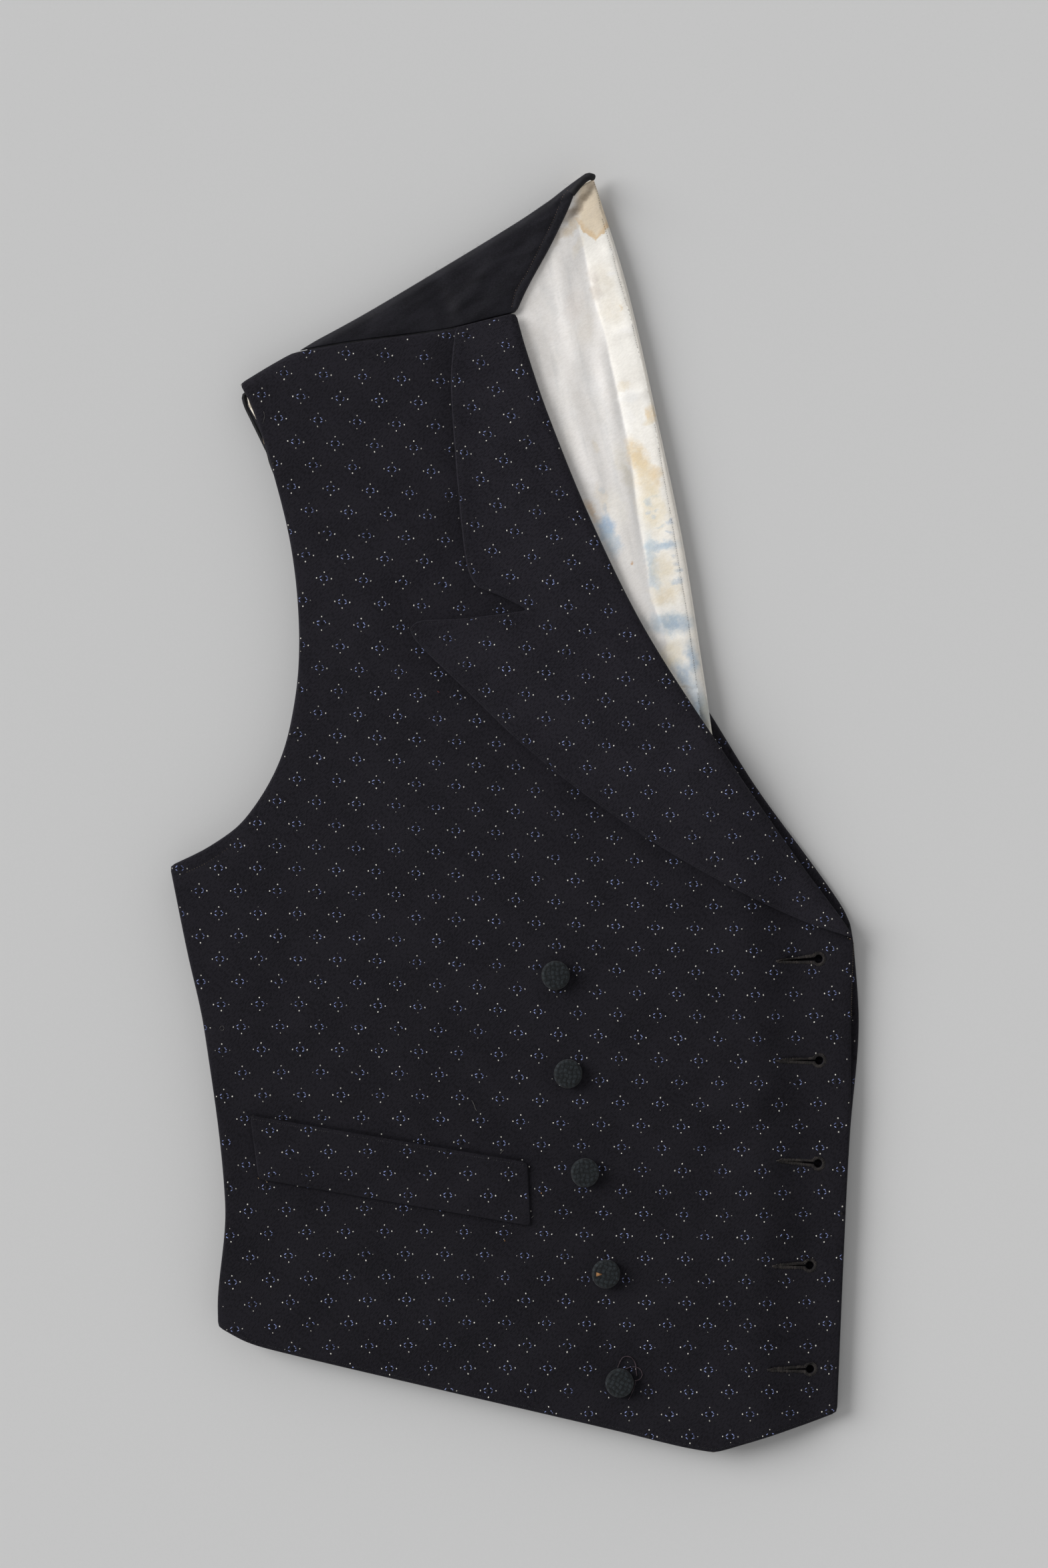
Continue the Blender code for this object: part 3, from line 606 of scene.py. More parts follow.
def attributeOf(tree, name):
    return put(tree, "ShaderNodeAttribute", attribute_name=name).outputs["Fac"]


def newMaterial(name, finish):
    material = bpy.data.materials.new(name)
    material.use_nodes = True
    tree = material.node_tree
    shader = tree.nodes["Principled BSDF"]
    shader.inputs["Roughness"].default_value = finish["roughness"]
    shader.inputs["Specular IOR Level"].default_value = finish["specular"]
    shader.inputs["Sheen Weight"].default_value = finish.get("sheen", 0.0)
    return material, tree, shader


def dress(tree, shader, colour, height, finish):    # colour and fine relief
    bump = result(tree, "ShaderNodeBump", {"Height": height, "Strength": finish["relief"],
                                           "Distance": finish["reliefHeight"] * mm})
    tree.links.new(colour, shader.inputs["Base Color"])
    tree.links.new(bump, shader.inputs["Normal"])


def rgba(colour):
    return (*colour, 1.0)


# Wool: a fine broken twill, slightly mottled, with a dark pit and a grey speck inside each motif's ring.
# In these dictionaries a range is a value's start and end, then what it becomes there, and patches are
# their scale, detail and roughness, then a range.
wool = {
    "dark": (0.0050, 0.0046, 0.0067), "light": (0.0160, 0.0148, 0.0196), "worn": (0.024, 0.0224, 0.027),
    "twillPitch": 0.58, "twillAngle": 50.0, "twillWander": 2.0, "fibreSize": 0.22, "fibreShare": 0.65,
    "ribPatches": (1 / 0.85, 1.0, 0.5, 0.36, 0.62, 0.15, 0.75), "toneRange": (0.2, 0.85),
    "mottlePatches": (1 / 26.0, 3.0, 0.6, 0.3, 0.7, 0.8, 1.15),
    "hemRange": (-0.26, 0.14, 0.9, 1.1),    # it looks darker towards the hem
    "fluffScale": 1.3, "fluffRange": (0.64, 0.8, 0.0, 0.7),
    # Off the motif's middle, full to this radius, gone at this one, strength
    "pit": (0.45, 0.69, 1.495, 0.6), "speck": (-0.5, 0.22, 0.715, 0.7),
    "pitTone": 0.3, "speckTone": (0.030, 0.028, 0.025), "speckPatches": (0.06, 1.0, 0.5, 0.42, 0.58),
    "roughness": 0.86, "specular": 0.12, "relief": 0.8, "reliefHeight": 0.08,
}


def placeInMotif(tree, grain):    # how far across and down from the middle of the nearest motif
    parts = put(tree, "ShaderNodeSeparateXYZ", {0: grain}).outputs
    row = math2(tree, "DIVIDE", parts[1], -motifStep["down"])
    column = math2(tree, "DIVIDE", parts[0], motifStep["across"])
    column = math2(tree, "SUBTRACT", column, product(tree, row, 0.5))
    rowOff, columnOff = (math2(tree, "SUBTRACT", part, math2(tree, "ROUND", part)) for part in (row, column))
    across = math2(tree, "ADD", columnOff, product(tree, rowOff, 0.5))
    return product(tree, across, motifStep["across"]), product(tree, rowOff, motifStep["down"])


def spotShows(tree, across, down, offMiddle, inner, outer, strength):
    aside = math2(tree, "SUBTRACT", across, offMiddle)
    away = lengthOf(tree, result(tree, "ShaderNodeCombineXYZ", {0: aside, 1: down}))
    return rangeOf(tree, away, inner, outer, strength, 0.0)


def woolMaterial(name, lightness=1.0):
    material, tree, shader = newMaterial(name, wool)
    grain = grainPlace(tree)
    turn = (0, 0, math.radians(90 - wool["twillAngle"]))
    turned = result(tree, "ShaderNodeMapping", {"Vector": grain, "Rotation": turn})
    wave = put(tree, "ShaderNodeTexWave",
               {"Vector": turned, "Scale": math.pi / 10 / wool["twillPitch"],
                "Distortion": wool["twillWander"], "Detail": 3.0, "Detail Scale": 1.4},
               wave_type="BANDS", bands_direction="X", wave_profile="SIN").outputs["Fac"]
    longer = result(tree, "ShaderNodeMapping", {"Vector": turned, "Scale": (1.0, 0.5, 1.0)})
    rib = product(tree, wave, patches(tree, longer, *wool["ribPatches"]))
    yarn = noise(tree, longer, 0.5 / wool["fibreSize"], 2.0, 0.6)
    height = math2(tree, "ADD", rib, product(tree, yarn, wool["fibreShare"]))
    tone = product(tree, height, patches(tree, grain, *wool["mottlePatches"]))
    # A lightness above one paints the whole cloth lighter, as painted sheen
    dark, light = (rgba([lightness * part for part in wool[key]]) for key in ("dark", "light"))
    colour = mixColour(tree, rangeOf(tree, tone, *wool["toneRange"]), dark, light)
    upward = put(tree, "ShaderNodeSeparateXYZ", {0: objectPlace(tree)}).outputs[1]
    shade = rangeOf(tree, upward, *wool["hemRange"])
    grey = result(tree, "ShaderNodeCombineColor", {0: shade, 1: shade, 2: shade})
    colour = mixColour(tree, 1.0, colour, grey, "MULTIPLY")
    fluff = noise(tree, grain, wool["fluffScale"], 4.0, 0.75, 1.5)
    colour = mixColour(tree, rangeOf(tree, fluff, *wool["fluffRange"]), colour, rgba(wool["worn"]))
    place = placeInMotif(tree, grain)
    pitColour = rgba([wool["pitTone"] * part for part in wool["dark"]])
    colour = mixColour(tree, spotShows(tree, *place, *wool["pit"]), colour, pitColour)
    speck = product(tree, spotShows(tree, *place, *wool["speck"]), patches(tree, grain, *wool["speckPatches"]))
    colour = mixColour(tree, speck, colour, rgba(wool["speckTone"]))
    dress(tree, shader, colour, height, wool)
    return material


# Black cotton satin of the back
satin = {
    "dark": (0.0050, 0.0048, 0.0068), "light": (0.0150, 0.0144, 0.0190), "toneRange": (0.35, 0.65),
    "threadSize": 0.3, "toneAndSheenStreaks": 5.0, "lie": 31.0, "longer": 4.0, "relief": 0.7, "reliefHeight": 0.05,
    "roughness": 0.5, "specular": 0.16,
}


def satinMaterial():
    material, tree, shader = newMaterial("black_satin", satin)
    lying = stretched(tree, grainPlace(tree), satin["lie"], satin["longer"])
    thread = noise(tree, lying, 1 / satin["threadSize"], 2.0, 0.6)
    # Streaks along the ridge: partly the satin's own uneven tone, partly painted sheen
    cloud = noise(tree, lying, 1 / satin["toneAndSheenStreaks"], 3.0, 0.6)
    mixed = math2(tree, "ADD", product(tree, thread, 0.5), product(tree, cloud, 0.5))
    tone = rangeOf(tree, mixed, *satin["toneRange"])
    colour = mixColour(tree, tone, rgba(satin["dark"]), rgba(satin["light"]))
    dress(tree, shader, colour, thread, satin)
    return material


# Sewing and woven threads: name, colour, lighter colour, roughness
threadColours = {
    "cream_float": ((0.345, 0.334, 0.306), (0.65, 0.63, 0.58), 0.6),
    "blue_float": ((0.10, 0.125, 0.26), (0.235, 0.285, 0.53), 0.6),
    "band_black": ((0.0030, 0.0029, 0.0038), (0.0075, 0.0072, 0.0090), 0.8),
    "black_thread": ((0.006, 0.006, 0.008), (0.018, 0.017, 0.02), 0.7),
    "buttonhole_silk": ((0.011, 0.0092, 0.0088), (0.031, 0.026, 0.0235), 0.7),
    "purl_silk": ((0.007, 0.0056, 0.0056), (0.018, 0.0145, 0.014), 0.6),
    "lining_thread": ((0.035, 0.035, 0.037), (0.10, 0.098, 0.095), 0.7),
    "lining_fray": ((0.52, 0.47, 0.38), (0.82, 0.77, 0.68), 0.7),
    "hem_brown": ((0.07, 0.054, 0.036), (0.20, 0.155, 0.10), 0.7),
    "faint_thread": ((0.018, 0.017, 0.018), (0.042, 0.040, 0.040), 0.7),
    "core_orange": ((0.22, 0.10, 0.035), (0.42, 0.22, 0.09), 0.7),
    "flap_thread": ((0.045, 0.029, 0.022), (0.12, 0.082, 0.062), 0.7),
    "tan_thread": ((0.22, 0.14, 0.08), (0.42, 0.30, 0.19), 0.7),
    "purple_thread": ((0.022, 0.013, 0.017), (0.05, 0.035, 0.042), 0.6),
    "red_thread": ((0.16, 0.02, 0.02), (0.3, 0.06, 0.05), 0.7),
    "lint": ((0.08, 0.077, 0.073), (0.19, 0.183, 0.175), 0.8),
}
threadLook = {"specular": 0.3, "patches": (380.0, 1.0, 0.5, 0.36, 0.62), "fibreScale": 9000.0,
              "relief": 0.4, "reliefHeight": 0.04}


def threadMaterial(name):
    darker, lighter, roughness = threadColours[name]
    material, tree, shader = newMaterial(name, {**threadLook, "roughness": roughness})
    place = objectPlace(tree)
    colour = mixColour(tree, patches(tree, place, *threadLook["patches"]), rgba(darker), rgba(lighter))
    dress(tree, shader, colour, noise(tree, place, threadLook["fibreScale"], 1.0), threadLook)
    return material


threads = {name: threadMaterial(name) for name in threadColours}
woolCloth = woolMaterial("wool_twill")
# The lapel's wool is painted lighter, standing for the sheen of its nap
lapelWoolLit = woolMaterial("wool_twill_lapel_painted_sheen", 1.15)
satinCloth = satinMaterial()
print("wool, satin and threads ready")


# Geometry Nodes trees for what repeats
def newTree(name, **inputs):
    tree = bpy.data.node_groups.new(name, "GeometryNodeTree")
    tree.is_modifier = True
    for label, kind in {"Geometry": "Geometry", **inputs}.items():
        tree.interface.new_socket(label, in_out="INPUT", socket_type="NodeSocket" + kind)
    tree.interface.new_socket("Geometry", in_out="OUTPUT", socket_type="NodeSocketGeometry")
    return tree, tree.nodes.new("NodeGroupInput").outputs


def endTree(tree, geometry, material):
    smooth = result(tree, "GeometryNodeSetShadeSmooth", {"Geometry": geometry})
    real = result(tree, "GeometryNodeRealizeInstances", {"Geometry": smooth})
    coloured = result(tree, "GeometryNodeSetMaterial", {"Geometry": real, "Material": material})
    put(tree, "NodeGroupOutput", {0: coloured})
    return tree


def wovenFloatTree():    # one short float of thread on each point
    tree, given = newTree("woven_floats", Sides="Int", Material="Material")
    bead = result(tree, "GeometryNodeMeshUVSphere", {"Segments": given["Sides"], "Rings": 3, "Radius": 0.5})
    turn, size = (result(tree, "GeometryNodeInputNamedAttribute", {"Name": name}, data_type="FLOAT_VECTOR")
                  for name in ("threadTurn", "threadSize"))
    rotation = result(tree, "FunctionNodeEulerToRotation", {0: turn})
    placed = result(tree, "GeometryNodeInstanceOnPoints",
                    {"Points": given["Geometry"], "Instance": bead, "Rotation": rotation, "Scale": size})
    return endTree(tree, placed, given["Material"])


def stitchRowTree():    # stitches a step apart along a path, each turned by the tilt
    tree, given = newTree("stitch_row", Step="Float", Length="Float", Width="Float", Height="Float",
                          Tilt="Float", Wobble="Float", Missing="Float", Seed="Int", Sides="Int",
                          Material="Material")

    def randomly(low, high):    # a draw for each stitch
        return put(tree, "FunctionNodeRandomValue", {2: low, 3: high, "Seed": given["Seed"]},
                   data_type="FLOAT").outputs[1]

    path = result(tree, "GeometryNodeMeshToCurve", {0: given["Geometry"]})
    steps = result(tree, "GeometryNodeResampleCurve", {"Curve": path, "Length": given["Step"]}, mode="LENGTH")
    bead = result(tree, "GeometryNodeMeshUVSphere", {"Segments": given["Sides"], "Rings": 4, "Radius": 0.5})
    along = result(tree, "GeometryNodeInputTangent")
    facing = result(tree, "FunctionNodeAlignRotationToVector", {"Vector": along}, axis="X")
    sway = randomly(product(tree, given["Wobble"], -1.0), given["Wobble"])
    tilt = result(tree, "ShaderNodeCombineXYZ", {2: math2(tree, "ADD", given["Tilt"], sway)})
    tilt = result(tree, "FunctionNodeEulerToRotation", {0: tilt})
    turned = result(tree, "FunctionNodeRotateRotation", {0: facing, 1: tilt}, rotation_space="LOCAL")
    size = result(tree, "ShaderNodeCombineXYZ", {0: given["Length"], 1: given["Width"], 2: given["Height"]})
    size = result(tree, "ShaderNodeVectorMath", {0: size, "Scale": randomly(0.8, 1.15)}, operation="SCALE")
    stays = math2(tree, "GREATER_THAN", randomly(0.0, 1.0), given["Missing"])
    placed = result(tree, "GeometryNodeInstanceOnPoints",
                    {"Points": steps, "Selection": stays, "Instance": bead, "Rotation": turned, "Scale": size})
    return endTree(tree, placed, given["Material"])


def threadRunTree():    # a round thread along a path
    tree, given = newTree("thread_run", Radius="Float", Sides="Int", Material="Material")
    path = result(tree, "GeometryNodeMeshToCurve", {0: given["Geometry"]})
    ring = result(tree, "GeometryNodeCurvePrimitiveCircle",
                  {"Resolution": given["Sides"], "Radius": given["Radius"]})
    tube = result(tree, "GeometryNodeCurveToMesh", {"Curve": path, "Profile Curve": ring, "Fill Caps": True})
    return endTree(tree, tube, given["Material"])


floatTree, rowTree, runTree = wovenFloatTree(), stitchRowTree(), threadRunTree()


def grow(obj, tree, **values):    # runs a tree on the object and keeps its plain result
    modifier = obj.modifiers.new(tree.name, "NODES")
    modifier.node_group = tree
    for item in tree.interface.items_tree:
        if item.in_out == "INPUT" and item.name in values:
            modifier[item.identifier] = values[item.name]
    makePlain(obj)
    return finishPiece(obj)


def stitchRow(name, lines, material, step, length, width, height, tilt, missing, seed, wobble=0.15):
    return grow(pathObject(name, lines), rowTree, Step=step * mm, Length=length * mm, Width=width * mm,
                Height=height * mm, Tilt=math.radians(tilt), Wobble=wobble, Missing=missing, Seed=seed,
                Sides=6, Material=threads[material])


def threadRun(name, lines, material, radius, sides=6):
    return grow(pathObject(name, lines), runTree, Radius=radius * mm, Sides=sides, Material=threads[material])


# Near front
nearFront = {"grid": 4.0, "head": 1.15, "foot": 0.6, "waves": 0.2, "waveSize": 64.0, "seed": 5}
nearRipple = {"waves": 0.05, "waveSize": 17.0, "seed": 6}
frontFolds = [
    # x1, y1, x2, y2, rise, halfWidth
    (85.2, -174.6, 132.7, -150.3, -0.9, 9),
    (80.8, -154.7, 133.8, -135.9, 0.75, 10),
    (102.9, -185.6, 149.3, -163.5, 0.75, 9),
    (45.4, -243.1, 44.3, -271.9, -0.68, 8),
    (-38.2, -240.9, -43.1, -269.7, 0.68, 7),
    (-107.2, -28.7, -120.4, -128.2, -0.75, 16),
    (10, -68.5, 54.2, -61.8, 0.6, 9),
    (-80, 150, -60, 40, 0.52, 22),
    (60, -250, 120, -228, 0.52, 12),
]
underarmRow = smoothLine([(-164.4, -30.7), (-153.1, -25.3), (-143.4, -18.6)])
weltFoot = smoothLine([weltCorners[3], weltCorners[2]])
weltMouth = smoothLine([weltCorners[0], weltCorners[1]])
underWeltRow = smoothLine([(-116.0, -187.8), (-18.7, -202.2), (6.0, -208.0)])
# Grooves along its seams: line, depth, half width
frontGrooves = [(underarmRow, 0.35, 2.0), (weltFoot, 0.25, 1.2), (weltMouth, 0.8, 2.0),
                (underWeltRow, 0.15, 1.2)]


def groove(line, depth, halfWidth, x, y):
    return -depth * (1 - ease(distanceTo(line, x, y) / halfWidth))


def frontBed(x, y):    # the front's top without its seams, which the lapel and the welt follow
    relief = wavesOf(nearFront, x, y) + wavesOf(nearRipple, x, y) + foldHeight(x, y, frontFolds)
    return frontFloor(x, y) + stack["front"] + relief


def frontTop(x, y):
    return frontBed(x, y) + sum(groove(*sewn, x, y) for sewn in frontGrooves)


buttonholes = {
    "places": [(131.2, -74.5, 151.5, -73.5), (131.8, -124.2, 151.8, -124.2), (131.7, -173.8, 151.2, -175.5),
               (129.2, -226.3, 147.0, -226.3), (126.8, -277.8, 147.2, -278.0)],    # tip x, y, then eye x, y
    "eyeRadius": 2.05, "eyePoints": 20, "slit": 0.95, "taper": 0.75, "gapes": [1.7, 0.8, 0.9, 0.7, 0.7],
    "lip": 0.35, "bare": 1.9,    # how far round it the cloth is rounded, and bare of motifs
    "stitchStep": 0.62, "stitchLong": 1.95, "stitchWide": 0.56, "stitchHigh": 0.46, "stitchFrom": 0.95,
    "stitchWobble": 0.14, "purlFrom": 0.3, "purlRadius": 0.22,
}


def keyhole(tipX, tipY, eyeX, eyeY, gape, spread):    # counterclockwise, wider by the spread all round
    turn = math.atan2(tipY - eyeY, tipX - eyeX)
    along = np.array([math.cos(turn), math.sin(turn)])
    left = np.array([-along[1], along[0]])
    radius = buttonholes["eyeRadius"] + spread
    half = buttonholes["slit"] * gape / 2 + spread
    opening = math.asin(min(0.8, half / radius))
    length = math.hypot(tipX - eyeX, tipY - eyeY) + spread
    start = radius * math.cos(opening)
    eye, count = np.array([eyeX, eyeY]), buttonholes["eyePoints"]
    ring, lower, upper = [], [], []
    for k in range(count + 1):
        angle = turn + opening + k * (2 * math.pi - 2 * opening) / count
        ring.append(eye + radius * np.array([math.cos(angle), math.sin(angle)]))
    for share in (0.15, 0.3, 0.45, 0.6, 0.75, 0.9):
        middle = eye + along * (start + (length - start) * share)
        aside = left * half * (1 - buttonholes["taper"] * share)
        lower.append(middle - aside)
        upper.insert(0, middle + aside)
    return np.array(ring + lower + [eye + along * length] + upper)


def keyholes(spread):    # all of them
    return [keyhole(*place, gape, spread) for place, gape in zip(buttonholes["places"], buttonholes["gapes"])]


holes = list(zip(keyholes(0.0), keyholes(buttonholes["lip"])))
frontLoop = outlineOf(
    (edges["ridgeTip"], 0), (edges["seam"][::-1], 0.2), (edges["roll"], 3.0), (edges["frontEdge"], 0),
    (edges["hemFront"], 0), (edges["hemSide"], 0), (edges["side"], 0), (edges["armhole"], 0))
frontRows = rowsBeside((ridgeLine, (-2.0, -4.2, -7.0)), (underarmRow, (-2.0, -1.0, 0.0, 1.0, 2.0)),
                       (weltFoot, (-1.3, -0.6, 0.0, 0.6)), (weltMouth, (-0.8, 0.0, 0.8, 1.6, 2.4)))
front = clothShell("near_front", frontLoop, frontFloor, frontTop, nearFront, frontRows, holes, "front")
finishPiece(front, woolCloth, ["front_panel"])
print("near front cut:", len(front.data.polygons), "faces")


# Collar and lapel in one, rolled over at the inner edge
lapelValues = {"grid": 3.4, "head": 0.8, "foot": 0.5, "waves": 0.12, "waveSize": 55.0, "seed": 21,
               "lift": 0.9, "liftWidth": 8.0, "rim": 1.4, "rimDepth": 0.2, "rimWidth": 0.8}
lapelFolds = [
    (16.6, 112.2, 45.4, 121.5, 0.35, 7),
    (60, 5, 95, -18, 0.3, 10),
    (-25, 80, 20, 62, 0.3, 12),
]
freeEdge = np.vstack([edges["lapelEdge"], edges["lapelTop"][1:], edges["collarEdge"][1:]])


def lapelFloor(x, y):
    lifted = lapelValues["lift"] * (1 - ease(distanceTo(freeEdge, x, y) / lapelValues["liftWidth"]))
    wrap = foldWrap("roll", edges["roll"], corners["breakPoint"], x, y)
    return frontBed(x, y) + stack["layerGap"] + lifted - wrap


def lapelRim(x, y):    # the sewn groove just inside the free edge
    away = np.abs(distanceTo(freeEdge, x, y) - lapelValues["rim"])
    return -lapelValues["rimDepth"] * (1 - ease(away / lapelValues["rimWidth"]))


def lapelTop(x, y):
    relief = foldHeight(x, y, lapelFolds) + lapelRim(x, y) + wavesOf(lapelValues, x, y)
    return lapelFloor(x, y) + stack["lapel"] + relief


freeSides = [edges[name] for name in ("lapelEdge", "lapelTop", "collarEdge")]
lapelRows = rowsBeside((edges["roll"], (-1.2, -2.4, -3.8, -6.0)),
                       *[(side, (-1.4, -2.2, -3.2)) for side in freeSides])
lapel = clothShell("collar_and_lapel", lapelLoop, lapelFloor, lapelTop, lapelValues, lapelRows, (), "lapel")
finishPiece(lapel, lapelWoolLit, ["collar_lapel"])
print("collar and lapel cut:", len(lapel.data.polygons), "faces")


# Pocket welt, standing a little open along its top
weltValues = {"grid": 3.0, "head": 0.55, "foot": 0.3, "waves": 0.06, "waveSize": 30.0, "seed": 31,
              "gape": 0.55, "gapeWidth": 7.0, "gapeFrom": -130.0, "gapeOver": 90.0, "gapShare": 0.4}


def weltFloor(x, y):
    opens = ease((x - weltValues["gapeFrom"]) / weltValues["gapeOver"])
    gape = weltValues["gape"] * opens * (1 - ease(distanceTo(weltMouth, x, y) / weltValues["gapeWidth"]))
    return frontBed(x, y) + stack["seamGap"] * weltValues["gapShare"] + gape


def weltTop(x, y):
    return weltFloor(x, y) + stack["welt"] + wavesOf(weltValues, x, y)


weltRows = rowsBeside((weltMouth, (-1.2, -2.4, -4.0)))
welt = clothShell("welt", weltLoop, weltFloor, weltTop, weltValues, weltRows, (), "welt")
finishPiece(welt, woolCloth, ["pocket_welt"])


# Back where it comes over the shoulder: black satin outside
flapValues = {"grid": 3.0, "head": 0.9, "foot": 0.5, "waves": 0.18, "waveSize": 38.0, "seed": 41,
              "stitchDepth": 0.35, "stitchWidth": 1.6,
              "startsIn": 1.1, "startsOver": 16.0}    # at the shoulder seam it starts a little further in
flapFolds = [
    (-32, 244.9, -40.8, 263.7, -0.9, 6),
    (-29.8, 248.2, -8.8, 274.3, 0.7, 5),
    (-20.9, 246.2, -3.3, 258.2, 0.5, 4),
    (-98.3, 238.3, -78.4, 244.9, 0.4, 4),
    (4, 268, 22, 298, 0.35, 5),
    (-70, 243, -40, 256, 0.45, 4.5),
    (-48, 240, -22, 247, -0.4, 3.5),
    (-14, 262, 6, 284, -0.35, 4),
]
flapStitch = smoothLine([(26.2, 309.2), (23.8, 306.2), (22.5, 302.8), (18.5, 293.2), (12.2, 280.5),
                         (5.8, 267.8), (0.5, 259.5), (-1.5, 251.5)])


def flapFloor(x, y):
    return backsFloor(x, y) + stack["backs"] + stack["layerGap"] - ridgeWrap(x, y)


def flapTop(x, y):
    sewn = groove(flapStitch, flapValues["stitchDepth"], flapValues["stitchWidth"], x, y)
    return flapFloor(x, y) + stack["flap"] + foldHeight(x, y, flapFolds) + sewn + wavesOf(flapValues, x, y)


def startedIn(line):
    startsIn = flapValues["startsIn"] * (1 - ease(np.hypot(*(line - line[0]).T) / flapValues["startsOver"]))
    return line + (beside(line, -1.0) - line) * startsIn[:, None]


flapLoop = outlineOf((startedIn(edges["ridge"]), 0), (edges["ridgeNeck"], 0), (edges["neckEnd"], 0),
                     (edges["backNeck"], 0), (edges["seam"], 0.2))
flapRows = rowsBeside((ridgeLine, (-1.2, -2.5, -4.2, -6.5)), (flapStitch, (-1.4, -0.6, 0.0, 0.6, 1.4)))
flap = clothShell("shoulder_flap", flapLoop, flapFloor, flapTop, flapValues, flapRows)
finishPiece(flap, satinCloth, ["back_shoulder"])


# Lining of the near back, round the fold at the centre back
liningValues = {"grid": 2.4, "head": 1.5, "foot": 1.3, "waves": 0.16, "waveSize": 26.0, "seed": 61,
                "crease": 0.12, "creaseWidth": 2.4, "creaseStart": 0.8,
                "creaseFoot": (76.0, 16.0), "creaseHead": (300.0, 14.0),    # y and length of its ends
                "stripRise": 0.045, "stripWidth": 16.0, "foldsBy": 1.45,
                "stitchDepth": 0.4, "stitchWidth": 1.3}
creaseLine = smoothLine([
    (31.8, 290.5), (34.5, 279.8), (37.2, 266.2), (40.2, 253.5), (44.5, 239.2), (48.2, 222.2), (51.3, 208.5),
    (54, 195.6), (57.2, 180.8), (59.8, 160.5), (61.2, 147.8), (64.8, 127.8), (67.8, 106.2), (72.5, 94.5),
    (75.5, 84.5)])
centreStitch = smoothLine([
    (39.2, 313.8), (41.5, 307.2), (43, 297.8), (47.8, 281.2), (52.2, 264.5), (57.2, 247.8), (61.2, 231.2),
    (65.2, 214.5), (68.8, 197.8), (71.8, 181.2), (74.7, 164.5), (77.7, 147.8), (80.5, 131.2), (83.2, 114.5),
    (86, 97.8), (88.2, 81.2), (90.5, 64.5), (92.5, 47.8)])
liningFolds = [
    (20.5, 277, 33, 218, 1, 8),
    (25, 214, 43, 157, 0.9, 7.5),
    (44, 228, 53.5, 158, 0.6, 6.5),
    (50, 152, 60, 104, 0.5, 6.5),
    (32.5, 282, 42, 234, -0.6, 5),
    (45.5, 232, 55, 186, -0.5, 4),
    (58, 172, 64.5, 126, -0.5, 3.5),
    (14.5, 238, 21, 214, -0.6, 5),
    (20.8, 294, 24.4, 284, 0.5, 3),
    (39.5, 313.5, 27, 296.5, -1.3, 4),
    (44, 280.5, 51.5, 278, 0.4, 3),
    (43, 269.5, 53.5, 267.5, 0.35, 3),
    (49, 238, 60.5, 241.5, 0.4, 3.5),
    (52, 206.5, 67, 210, 0.45, 3),
    (70.5, 86, 88, 85.6, 0.5, 2.6),
    (86.5, 58, 93.5, 59.5, 0.35, 2.4),
    (70, 112, 74.8, 86, 0.3, 2.2),
]


def pastCrease(x, y):
    return x - acrossAt(creaseLine, y)


def liningTop(x, y):
    past = pastCrease(x, y)
    (foot, overFoot), (head, overHead) = liningValues["creaseFoot"], liningValues["creaseHead"]
    step = liningValues["crease"] * ease((past + liningValues["creaseStart"]) / liningValues["creaseWidth"])
    step = step + liningValues["stripRise"] * np.clip(past, 0.0, liningValues["stripWidth"])
    fade = ease((y - foot) / overFoot) * ease((head - y) / overHead)
    sewn = groove(centreStitch, liningValues["stitchDepth"], liningValues["stitchWidth"], x, y)
    folded = liningValues["foldsBy"] * foldHeight(x, y, liningFolds)
    return backsFloor(x, y) + stack["backs"] + (fade * step + folded + wavesOf(liningValues, x, y) + sewn)


liningHead = smoothLine([split[-1], *liningNeck, corners["neckTip"]])
liningLoop = outlineOf((liningHead, 0.6), (edges["fold"], 0), (edges["foldFoot"], 0), (split, 0))
liningRows = rowsBeside((creaseLine, (-1.0, -0.4, 0.2, 0.8, 1.6)), (centreStitch, (-1.3, -0.6, 0.0, 0.6, 1.3)))
lining = clothShell("back_lining_cloth", liningLoop, backsFloor, liningTop, liningValues, liningRows)
liningPlaces = np.empty(len(lining.data.vertices) * 3)
lining.data.vertices.foreach_get("co", liningPlaces)
liningX, liningY, _ = liningPlaces.reshape(-1, 3).T / mm
addAttribute(lining, "pastCrease", pastCrease(liningX, liningY))
addAttribute(lining, "fromStitch", distanceTo(centreStitch, liningX, liningY))
addAttribute(lining, "beyondStitch", liningX - acrossAt(centreStitch, liningY))

